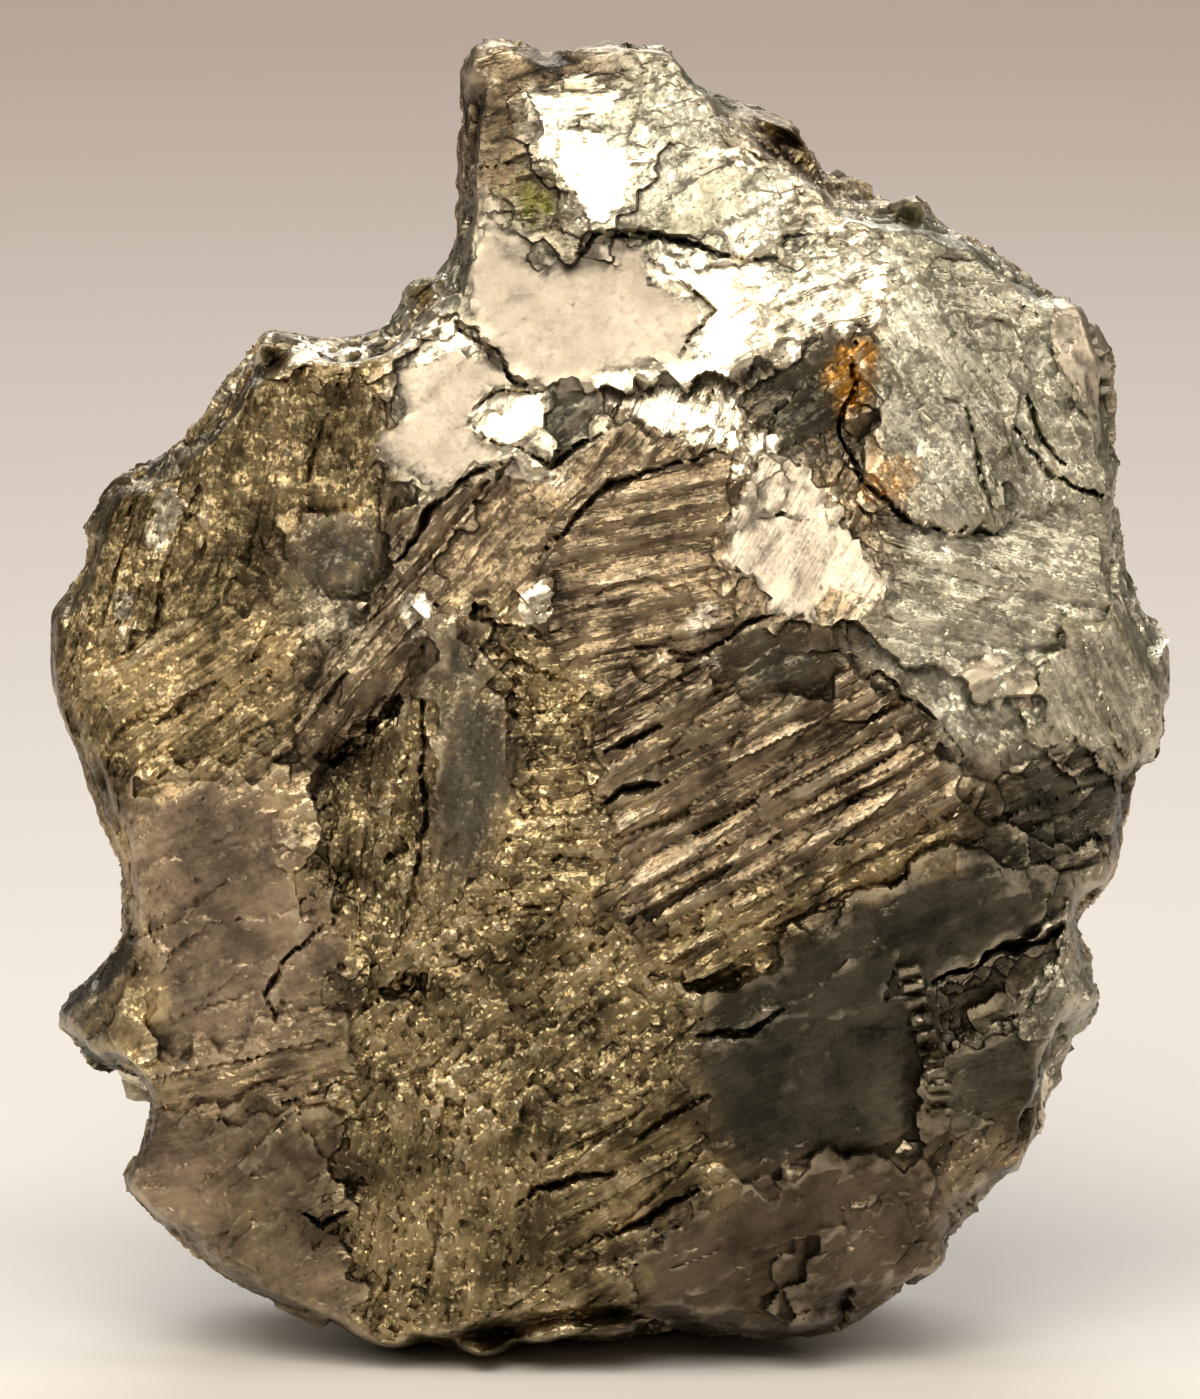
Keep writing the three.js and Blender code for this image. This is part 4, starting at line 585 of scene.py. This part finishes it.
def show_relief(places):
    """How far the broken show face stands out at each place, where a face claims it."""
    zone, level, _ = by_zone(places)
    patch = by_patch(places)
    split = np.maximum(ramp(patch["rosy"], -0.05, 0.2), 0.5 * ramp(patch["fresh"], -0.05, 0.2))
    flat = places[:, :2]
    w = places[:, 2].copy()
    crumbs, crumb_middles, _ = grains(37, flat, CRUMB)
    for number, face in enumerate(ZONES):
        here = np.flatnonzero(zone == number)
        spot = flat[here]
        height = 0.15 * rough(73, spot, 6.0)
        heading, pitch, rise = face.get("bands", (30, 1.0, 0.02))
        angle = math.radians(heading)
        across = spot[:, 1] * math.cos(angle) - spot[:, 0] * math.sin(angle) + 0.15 * rough(41, spot, 3.0)
        along = spot[:, 0] * math.cos(angle) + spot[:, 1] * math.sin(angle)
        fade = 0.6 + 0.4 * swell(43, spot, 4.0)
        lively = min(0.65 + 1.6 * face["crumb"], 1.3)
        height += fade * terraces(100 + number, across, pitch, rise)
        for size, amount in ((2.4, 0.16 + 0.1 * rise), (1.3, 0.10 + 0.3 * rise), (0.55, 0.07 + 0.15 * rise)):
            stretched = np.column_stack([along / (3 + 6 * rise), across])
            splinters, middles, _ = grains(47 + number, stretched, size)
            step = chance(53, splinters) - 0.5
            lean = 2 * (chance(59, splinters) - 0.5) * (across - middles[:, 1]) / size
            height += lively * amount * (step + lean)
        grit = chance(61, crumbs[here]) - 0.5
        tip = np.column_stack([chance(67, crumbs[here]), chance(71, crumbs[here])]) - 0.5
        height += face["crumb"] * (0.2 * grit + 0.5 * np.sum(tip * (spot - crumb_middles[here]), axis=1))
        w[here] = level[here] + height * (1 - CALM * split[here])
    w += SPLIT * split
    u, v = (flat + 0.35 * np.column_stack([rough(11, flat, 1.2), rough(17, flat, 1.2)])).T
    for width, depth, line in CRACKS:
        near = close_to(line, u, v, width)
        away, passed = way_to_line(line, u[near], v[near])
        gape = np.sin(math.pi * passed) * (0.6 + 0.5 * swell(75, flat[near], 1.0))
        half = 0.07 + 0.33 * width * np.maximum(gape, 0)
        w[near] -= depth * (0.25 + 0.5 * np.maximum(gape, 0)) * np.maximum(1 - away / half, 0)
    u, v = ragged(places, HOLLOW_CHIP).T
    for depth, outline in HOLLOWS:
        near = close_to(outline, u, v, 1.0)
        w[near] -= 0.6 * depth * ramp(depth_inside(outline, u[near], v[near]), -0.2, 1.0)
    near = close_to(LADDER, *flat.T, RUNG_WIDTH)
    away, passed = way_to_line(LADDER, *flat[near].T)
    share = passed * RUNGS % 1
    rung = ramp(share, 0, 0.2) * ramp(share, 1.0, 0.4) * ramp(away, RUNG_WIDTH, 0.6 * RUNG_WIDTH)
    w[near] += RUNG_RISE * rung
    return w


# The broken sides and the back: larger cleavage faces that lean every way, with twin bands of their own.
# The show view doesn't reach them, so they follow the way that such metal breaks: flat faces, ragged ledges
# and splinters.
FLAKE = 8.0  # mm across a cleavage face
FLAKE_STEP = 0.9  # mm between one face and the next
FLAKE_LEAN = 0.45  # mm per mm
INNER = [(-5.5, 63.5), (0.5, 63.8), (6, 60.5), (11, 56), (16, 55), (21, 52), (24, 47), (24.3, 42), (26, 34),
         (24.5, 29.5), (23.5, 25), (21, 21), (22, 17), (19.5, 12), (17, 8), (12, 4), (7, 2.5), (-6, 2),
         (-11, 1.5), (-16.5, 4), (-20.5, 8.5), (-21, 14), (-21.5, 19), (-22, 25), (-23.5, 31), (-24.5, 35),
         (-22, 41), (-18, 46), (-12, 48), (-8.5, 50), (-5.5, 52), (-5.3, 57)]  # clear of the rim
DEEPEST = 8.0  # mm that the show face is worked in or out at most
SIDE_BANDS = (0.9, 0.22)  # mm, spacing and height
RIM_SHARE = 0.25  # of the steps and leans that is left at the rim, so that the outline holds
BEHIND_RIM = (1.0, -7.0)  # mm out of the rim's plane, between which they grow to the whole
PARED = 0.15  # mm taken off, so that the ledges don't swell the lump
SPLINTERS = ((2.6, 0.26), (1.2, 0.2), (0.5, 0.12))  # mm, width and height


def broken(points):
    """Points on the sides, shifted so that the edges of their faces break unevenly from grain to grain."""
    shift = np.column_stack([rough(seed, points, 5.0) for seed in (141, 145, 149)])
    _, middles, _ = grains(151, points, 1.3)
    return points + 0.7 * (middles - points) + 1.6 * shift


def random_ways(seeds, flakes):
    """A direction for each flake."""
    way = np.column_stack([chance(seed, flakes) for seed in seeds]) - 0.5
    return way / np.linalg.norm(way, axis=1, keepdims=True)


def side_relief(points):
    spots = broken(points)
    flakes, _, _ = grains(81, spots, FLAKE)
    soft = 0.2 + 1.0 * ramp(rough(153, points, 5.0), -0.1, 0.5)  # mm over which faces run together
    share, level = np.zeros(len(points)), np.zeros(len(points))
    for flake, middle, away in near_cells(81, spots, FLAKE):
        weight = np.exp(-away / soft)
        lean = FLAKE_LEAN * np.sum(random_ways((155, 157, 159), flake) * (points - middle), axis=1)
        share += weight
        level += weight * (FLAKE_STEP * (chance(83, flake) - 0.5) + np.clip(lean, -1.2, 1.2))
    w = to_face(points)[:, 2]
    deep = RIM_SHARE + (1 - RIM_SHARE) * ramp(w, *BEHIND_RIM)
    height = deep * level / share - PARED
    across_way = random_ways((85, 87, 89), flakes)
    along_way = np.cross(across_way, random_ways((91, 93, 95), flakes))
    across = np.sum(across_way * points, axis=1) + 0.15 * rough(97, points, 3.0)
    along = np.sum(along_way * points, axis=1)
    banded = chance(101, flakes)
    height += banded * terraces(103, across, *SIDE_BANDS)
    for size, amount in SPLINTERS:
        splinters, middles, _ = grains(161, np.column_stack([along / 3, across]), size)
        lean = 2 * (chance(167, splinters) - 0.5) * (across - middles[:, 1]) / size
        height += amount * (chance(163, splinters) - 0.5 + lean)
    crumbs, crumb_middles, _ = grains(107, points, 0.6)
    tip = np.column_stack([chance(seed, crumbs) for seed in (109, 111, 115)]) - 0.5
    return height + 0.35 * np.sum(tip * (points - crumb_middles), axis=1) + 0.2 * rough(113, points, 4.0)


def on_show_side(points, normals):
    """How far each point belongs to the show face: 1 on it, 0 on the sides and the back."""
    facing = normals[:, 2] * sin - normals[:, 1] * cos
    loose = 0.2 * rough(79, points, 3.0)
    u, v, w = to_face(points).T
    inner = ramp(depth_inside(INNER, u, v), 0, 0.8)
    return np.maximum(ramp(facing, 0.3 + loose, 0.44 + loose), inner) * ramp(w, 1.0, 3.0)


points = points_of(lump.data)
normals = points_of(lump.data, "vertex_normals", "vector")
places = to_face(points)
edges = edges_of(lump.data)
for _ in range(8):
    normals = among_neighbours(normals, edges)
show = on_show_side(points, normals)
for _ in range(8):
    show = among_neighbours(show, edges)
front = np.flatnonzero(show > 0)
relief = np.zeros(len(points))
relief[front] = show[front] * np.clip(show_relief(places[front]) - places[front, 2], -DEEPEST, DEEPEST)
sides = np.flatnonzero(show < 1)
standing = ramp(points[sides, 2], 0.3, 1.5)
swollen = points.copy()
swollen[sides] += normals[sides] * ((1 - show[sides]) * standing * side_relief(points[sides]))[:, None]
outward = from_face(np.array([[0.0, 0.0, 1.0]])) - from_face(np.zeros((1, 3)))
swollen += relief[:, None] * outward
swollen = np.clip(swollen, corners.min(axis=0), corners.max(axis=0))
place(lump.data, swollen)

# The fine grid is thinned to what the shapes need: first the back and sides, then all of it
TRIANGLES = 196000
BACK_SHARE = 0.3  # of them, for the back
rework(lump, "TRIANGULATE")
quiet = lump.vertex_groups.new(name="back")
back = np.flatnonzero(to_face(points_of(lump.data))[:, 2] < -2.0)
quiet.add(back.tolist(), 1.0, "REPLACE")
total = len(lump.data.polygons)
keep = (total - 2 * len(back) + BACK_SHARE * TRIANGLES) / total
rework(lump, "DECIMATE", ratio=keep, vertex_group="back")
lump.vertex_groups.clear()
rework(lump, "DECIMATE", ratio=TRIANGLES / len(lump.data.polygons))

# What the metal's finish follows, kept on the mesh: its depth in mm inside each kind of finish, its shade,
# the way across its bands, how banded and how crumbled it is, and how far it lies in a hollow
FINISHES = ("grey", "dark", "mauve", "gold", "olive", "amber", "rosy", "fresh")
SIDE_SHARE = {"grey": (0.0, 0.35), "dark": (0.35, 0.45), "mauve": (0.45, 0.55), "gold": (0.55, 0.72),
              "rosy": (0.15, 0.27), "fresh": (0.27, 0.35)}  # shares of the flakes on the sides
points = points_of(lump.data)
edges = edges_of(lump.data)
places = to_face(points)
normals = points_of(lump.data, "vertex_normals", "vector")
for _ in range(6):
    normals = among_neighbours(normals, edges)
zone, _, finish_depth = by_zone(places)
patch = by_patch(places)
facing = normals[:, 2] * sin - normals[:, 1] * cos
front = (facing > 0.1) & (places[:, 2] > 2.5) & (zone >= 0)
flakes, _, side_margin = grains(81, broken(points), FLAKE)
side_pick = chance(127, flakes)
split_off = 1.5 * rough(171, broken(points), 4.0)
kept = {}
for name in FINISHES:
    depth = np.full(len(points), -SPAN)
    if name in finish_depth:
        others = np.max([d for other, d in finish_depth.items() if other != name], axis=0)
        depth = (finish_depth[name] - others) / 2
    if name in patch:
        depth = np.maximum(depth, patch[name])
    if name in SIDE_SHARE:
        low, high = SIDE_SHARE[name]
        side_depth = np.where((side_pick >= low) & (side_pick < high), side_margin, -side_margin)
        if name in ("rosy", "fresh"):
            side_depth = np.minimum(side_depth, split_off)
    else:
        side_depth = -SPAN
    kept[name] = np.where(front, depth, side_depth)

# Each show face's shade is partly its own tone and partly painted light and shade; on the sides and the back it
# is a random tone.
shades = np.array([face["shade"] for face in ZONES])
kept["shade"] = np.where(front, shades[zone], 0.75 + 0.5 * chance(131, flakes))
crumb = np.array([face["crumb"] for face in ZONES])
kept["crumb"] = np.where(front, crumb[zone], 0.1 + 0.5 * chance(137, flakes))
bands = [face.get("bands", (30, 1.0, 0.0)) for face in ZONES]
headings = np.radians([heading for heading, _, _ in bands])[zone]
show_across = np.column_stack([-np.sin(headings), np.cos(headings), np.zeros(len(points))])
show_across = from_face(show_across) - from_face(np.zeros((1, 3)))
across = np.where(front[:, None], show_across, random_ways((85, 87, 89), flakes))
rises = np.array([rise for _, _, rise in bands])[zone]
kept["stria"] = np.where(front, np.clip(0.08 + 5 * rises, 0, 1), 0.2 + 0.6 * chance(101, flakes))

normals = points_of(lump.data, "vertex_normals", "vector")
level = points
for _ in range(6):
    level = level + 0.7 * (among_neighbours(level, edges) - level)
for name in ("grey", "dark", "mauve", "gold", "shade", "crumb", "stria"):
    for _ in range(20):
        kept[name] = among_neighbours(kept[name], edges)
kept["recess"] = np.sum((level - points) * normals, axis=1)

place(lump.data, points / MM)
for name, values in kept.items():
    layer = lump.data.attributes.new(name, "FLOAT", "POINT")
    layer.data.foreach_set("value", values.astype(np.float32))
layer = lump.data.attributes.new("across", "FLOAT_VECTOR", "POINT")
layer.data.foreach_set("vector", across.astype(np.float32).ravel())
lump.data.polygons.foreach_set("use_smooth", np.ones(len(lump.data.polygons), dtype=bool))
lump.data.set_sharp_from_angle(angle=math.radians(38))


# Native bismuth: a brittle, silver-white metal with a rose tint where it has just split. In air it tarnishes
# to grey, brown and brass yellow. Twin bands rule its faces with fine lines, and broken grains sparkle.
def linear(code):
    """A colour in linear light from its sRGB hex value."""
    parts = [int(code[k:k + 2], 16) / 255 for k in (1, 3, 5)]
    return (*[c / 12.92 if c <= 0.04045 else ((c + 0.055) / 1.055) ** 2.4 for c in parts], 1.0)


def add(kind, sockets=(), **settings):
    """Adds a node to the material in hand, with its settings and what goes into its sockets."""
    made = tree.nodes.new("ShaderNode" + kind)
    for name, value in settings.items():
        setattr(made, name, value)
    for socket, value in dict(sockets).items():
        if isinstance(value, bpy.types.NodeSocket):
            tree.links.new(value, made.inputs[socket])
        else:
            made.inputs[socket].default_value = value
    return made.outputs


COLOURS = {  # darkest and brightest colour, and roughness
    "tarnish": ("#54493a", "#9e8b6e", 0.42),
    "grey": ("#86826f", "#c9c4b0", 0.40),
    "dark": ("#434036", "#6a6455", 0.40),
    "mauve": ("#574c3f", "#8d7c66", 0.46),
    "gold": ("#574c35", "#b29d74", 0.38),
    "olive": ("#3c3b1c", "#6e6b36", 0.35),
    "amber": ("#5c3c14", "#c08a3a", 0.35),
    "rosy": ("#8a8073", "#b4a996", 0.44),
    "fresh": ("#a99d83", "#eae0c9", 0.32),
}
PAINTED_SHADE = "#1d1811"  # painted shade in cracks and hollows
PAINTED_GLINT = "#e8d9a8"  # painted glint, on a few broken grains whichever way they face
WORN = "#d8cbb0"  # on rubbed edges
MOTTLE = 3.0  # mm across the tarnish's clouds
LINE = 0.35  # mm between the fine lines of the twin bands
LINE_LENGTH = 2.2  # mm
GRIT = 0.4  # mm across the grit
SPARKLE = 0.17  # mm across a sparkling grain
LINE_DEPTH = 0.10  # mm
GRIT_DEPTH = 0.06  # mm
SMOOTH_SHARE = 0.35  # of the grit that is left on a split face
MIX_A, MIX_B, MIX_OUT = 6, 7, 2  # colour sockets of a mix node

bismuth = bpy.data.materials.new("native_bismuth")
bismuth.use_nodes = True
tree = bismuth.node_tree
tree.nodes.clear()
millimetres = add("VectorMath", {0: add("TexCoord")["Object"], "Scale": MM}, operation="SCALE")[0]
mottle = add("TexNoise", {"Vector": millimetres, "Scale": 1 / MOTTLE, "Detail": 5.0, "Roughness": 0.62})[0]
grit = add("TexNoise", {"Vector": millimetres, "Scale": 1 / GRIT, "Detail": 3.0})[0]
sparkle = add("TexVoronoi", {"Vector": millimetres, "Scale": 1 / SPARKLE})["Color"]
on_mesh = {name: add("Attribute", attribute_name=name)["Fac"] for name in kept}

# The fine lines: noise that is squeezed across the bands and drawn out along them
band_way = add("Attribute", attribute_name="across")["Vector"]
over_bands = add("VectorMath", {0: millimetres, 1: band_way}, operation="DOT_PRODUCT")["Value"]
over_bands = add("Math", {0: over_bands, 1: 1 / LINE}, operation="MULTIPLY")[0]
squeezed = add("VectorMath", {0: band_way, "Scale": over_bands}, operation="SCALE")[0]
drawn = add("VectorMath", {0: millimetres, "Scale": 1 / LINE_LENGTH}, operation="SCALE")[0]
ruled = add("VectorMath", {0: squeezed, 1: drawn}, operation="ADD")[0]
lines = add("TexNoise", {"Vector": ruled, "Scale": 1.0, "Detail": 3.0, "Roughness": 0.6})[0]

# Colour: clouds and lines of tarnish, and grit where the metal has split. The finishes run into each other
# over a millimetre or so, but a split face ends in a crisp, broken edge.
ruling = add("MapRange", {0: on_mesh["stria"], 3: 0.1, 4: 0.6})[0]
centred = add("Math", {0: lines, 1: 0.5}, operation="SUBTRACT")[0]
clouds = add("Math", {0: centred, 1: ruling, 2: mottle}, operation="MULTIPLY_ADD")[0]
clouds = add("MapRange", {0: clouds, 1: 0.36, 2: 0.64})[0]
speckle = add("Math", {0: mottle, 1: grit}, operation="ADD")[0]
speckle = add("MapRange", {0: speckle, 1: 0.75, 2: 1.15})[0]
crisp_shift = add("MapRange", {0: grit, 1: 0.3, 2: 0.7, 3: -0.22, 4: 0.22})[0]
loose_shift = add("MapRange", {0: mottle, 1: 0.3, 2: 0.7, 3: -1.0, 4: 1.0})[0]
loose_shift = add("Math", {0: crisp_shift, 1: loose_shift}, operation="ADD")[0]
low, high, gloss = COLOURS["tarnish"]
colour = add("Mix", {0: clouds, MIX_A: linear(low), MIX_B: linear(high)}, data_type="RGBA")[MIX_OUT]
coarse = 1.0
for name in FINISHES:
    low, high, finish_gloss = COLOURS[name]
    if name in ("rosy", "fresh"):
        tone, shift, blur, finish_coarse = speckle, crisp_shift, 0.05, SMOOTH_SHARE
    else:
        tone, shift, blur, finish_coarse = clouds, loose_shift, 0.8, 1.0
    depth = add("Math", {0: on_mesh[name], 1: shift}, operation="ADD")[0]
    share = add("MapRange", {0: depth, 1: -blur, 2: blur})[0]
    finish = add("Mix", {0: tone, MIX_A: linear(low), MIX_B: linear(high)}, data_type="RGBA")[MIX_OUT]
    colour = add("Mix", {0: share, MIX_A: colour, MIX_B: finish}, data_type="RGBA")[MIX_OUT]
    gloss = add("Mix", {0: share, 2: gloss, 3: finish_gloss})[0]
    coarse = add("Mix", {0: share, 2: coarse, 3: finish_coarse})[0]
# The shade: partly the metal's own tone, partly painted light and shade on the show faces
shade = add("CombineColor", {0: on_mesh["shade"], 1: on_mesh["shade"], 2: on_mesh["shade"]})[0]
colour = add("Mix", {0: 1.0, MIX_A: colour, MIX_B: shade}, data_type="RGBA", blend_type="MULTIPLY")[MIX_OUT]

# Painted glints on broken grains, painted shade in cracks and hollows, and edges that are rubbed bright
patchy = add("MapRange", {0: mottle, 1: 0.35, 2: 0.6, 3: 0.4, 4: 1.3})[0]
crumbled = add("Math", {0: on_mesh["crumb"], 1: patchy}, operation="MULTIPLY")[0]
# Painted glint: light flecks on a few grains of the crumbled faces, whichever way those grains face
painted_glint = add("MapRange", {0: add("SeparateColor", {0: sparkle})[0], 1: 0.89, 2: 0.98})[0]
painted_glint_share = add("MapRange", {0: crumbled, 1: 0.25, 2: 0.9, 4: 0.8})[0]
painted_glint = add("Math", {0: painted_glint, 1: painted_glint_share}, operation="MULTIPLY")[0]
colour = add("Mix", {0: painted_glint, MIX_A: colour, MIX_B: linear(PAINTED_GLINT)}, data_type="RGBA")[MIX_OUT]
# Painted shade: the deeper a point lies in a crack or hollow, the darker it is painted
deep = add("MapRange", {0: on_mesh["recess"], 1: 0.03, 2: 0.15, 4: 0.72})[0]
colour = add("Mix", {0: deep, MIX_A: colour, MIX_B: linear(PAINTED_SHADE)}, data_type="RGBA")[MIX_OUT]
edge = add("MapRange", {0: on_mesh["recess"], 1: -0.04, 2: -0.12, 4: 0.5})[0]
rubbed = add("MapRange", {0: mottle, 1: 0.4, 2: 0.65})[0]
rubbed = add("Math", {0: edge, 1: rubbed}, operation="MULTIPLY")[0]
colour = add("Mix", {0: rubbed, MIX_A: colour, MIX_B: linear(WORN)}, data_type="RGBA")[MIX_OUT]

# Relief too fine for the mesh: the ruled lines, the grit, and grains that each face their own way
gloss_shift = add("MapRange", {0: grit, 1: 0.3, 2: 0.7, 3: -0.08, 4: 0.10})[0]
gloss = add("Math", {0: gloss, 1: gloss_shift}, operation="ADD")[0]
bump = add("Bump", {"Height": lines, "Strength": on_mesh["stria"], "Distance": LINE_DEPTH / MM})[0]
bump = add("Bump", {"Height": grit, "Strength": coarse, "Distance": GRIT_DEPTH / MM, "Normal": bump})[0]
tip = add("VectorMath", {0: sparkle, 1: (0.5, 0.5, 0.5)}, operation="SUBTRACT")[0]
tipping = add("MapRange", {0: crumbled, 3: 0.16, 4: 0.55})[0]
tipping = add("Math", {0: tipping, 1: coarse}, operation="MULTIPLY")[0]
tip = add("VectorMath", {0: tip, "Scale": tipping}, operation="SCALE")[0]
bump = add("VectorMath", {0: bump, 1: tip}, operation="ADD")[0]
bump = add("VectorMath", {0: bump}, operation="NORMALIZE")[0]
skin = add("BsdfPrincipled", {"Base Color": colour, "Metallic": 1.0, "Roughness": gloss, "Normal": bump})
add("OutputMaterial", {"Surface": skin[0]})

lump.data.materials.clear()
lump.data.materials.append(bismuth)
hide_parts("bismuth_crystal")
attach(lump, "root")


# The setting: a wide, pale card under the lump, with painted shade that darkens it away from the lump, soft
# light from above, and the camera square on to the show face from a metre away. All of it is for the picture and
# none of it is the lump's.
CARD = 4.0  # m, half its width
CARD_PAINTED_FALLOFF = ("#d8d5d2", "#a3938a", "#57504a")  # painted falloff of light, from the middle outwards
CARD_RINGS = (0.05, 0.45, 1.2)  # m, where each colour is reached
card = bpy.data.meshes.new("floor")
card.from_pydata([(-CARD, -CARD, 0), (CARD, -CARD, 0), (CARD, CARD, 0), (-CARD, CARD, 0)], [], [(0, 1, 2, 3)])
floor = bpy.data.objects.new("floor", card)
bpy.context.scene.collection.objects.link(floor)
paper = bpy.data.materials.new("pale_card")
paper.use_nodes = True
tree = paper.node_tree
tree.nodes.clear()
# Painted shade: the card is painted darker the farther it lies from the middle
away = add("VectorMath", {0: add("TexCoord")["Object"]}, operation="LENGTH")["Value"]
colour = linear(CARD_PAINTED_FALLOFF[0])
for ring in (1, 2):
    share = add("MapRange", {0: away, 1: CARD_RINGS[ring - 1], 2: CARD_RINGS[ring]})[0]
    outer = linear(CARD_PAINTED_FALLOFF[ring])
    colour = add("Mix", {0: share, MIX_A: colour, MIX_B: outer}, data_type="RGBA")[MIX_OUT]
skin = add("BsdfPrincipled", {"Base Color": colour, "Roughness": 0.7})
add("OutputMaterial", {"Surface": skin[0]})
floor.data.materials.append(paper)

AIM = from_face(np.array([[-0.5, 32.33, 0.0]]))[0] / MM
FRAME_HEIGHT = 69.95 / MM  # m, at the lump
AWAY = 1.0  # m from the lump to the camera
SENSOR = 36.0  # mm


def looking(obj, place_at, at):
    obj.location = place_at
    obj.rotation_euler = (Vector(at) - Vector(place_at)).to_track_quat("-Z", "Y").to_euler()
    bpy.context.scene.collection.objects.link(obj)


lens = bpy.data.cameras.new("camera")
lens.sensor_width = SENSOR
lens.lens = SENSOR * AWAY / FRAME_HEIGHT
lens.clip_start = 0.01
camera = bpy.data.objects.new("camera", lens)
looking(camera, AIM + AWAY * np.array([0.0, -cos, sin]), AIM)
bpy.context.scene.camera = camera


def softbox(name, azimuth, elevation, distance, size, power, colour="#ffffff"):
    lamp = bpy.data.lights.new(name, "AREA")
    lamp.shape = "RECTANGLE"
    lamp.size, lamp.size_y = size
    lamp.energy = power
    lamp.color = linear(colour)[:3]
    a, e = math.radians(azimuth), math.radians(elevation)
    way = np.array([math.sin(a) * math.cos(e), -math.cos(a) * math.cos(e), math.sin(e)])
    looking(bpy.data.objects.new(name, lamp), AIM + distance * way, AIM)


softbox("key", -8, 46, 0.7, (0.5, 0.45), 4.6, "#fff7ea")
softbox("fill_left", -75, 35, 0.8, (0.3, 0.5), 1.8, "#fff4e4")
softbox("fill_right", 75, 40, 0.8, (0.3, 0.5), 1.8, "#fff6ea")
softbox("behind", 180, 40, 0.9, (0.6, 0.5), 4.0)
world = bpy.data.worlds.new("room")
world.use_nodes = True
tree = world.node_tree
tree.nodes.clear()
up = add("SeparateXYZ", {0: add("TexCoord")["Generated"]})["Z"]
rise = add("MapRange", {0: up, 1: -0.1, 2: 0.8})[0]
sky = add("Mix", {0: rise, MIX_A: linear("#3a352e"), MIX_B: linear("#cfc6b8")}, data_type="RGBA")[MIX_OUT]
add("OutputWorld", {"Surface": add("Background", {"Color": sky, "Strength": 0.5})[0]})
bpy.context.scene.world = world
bpy.context.scene.view_settings.view_transform = "Standard"
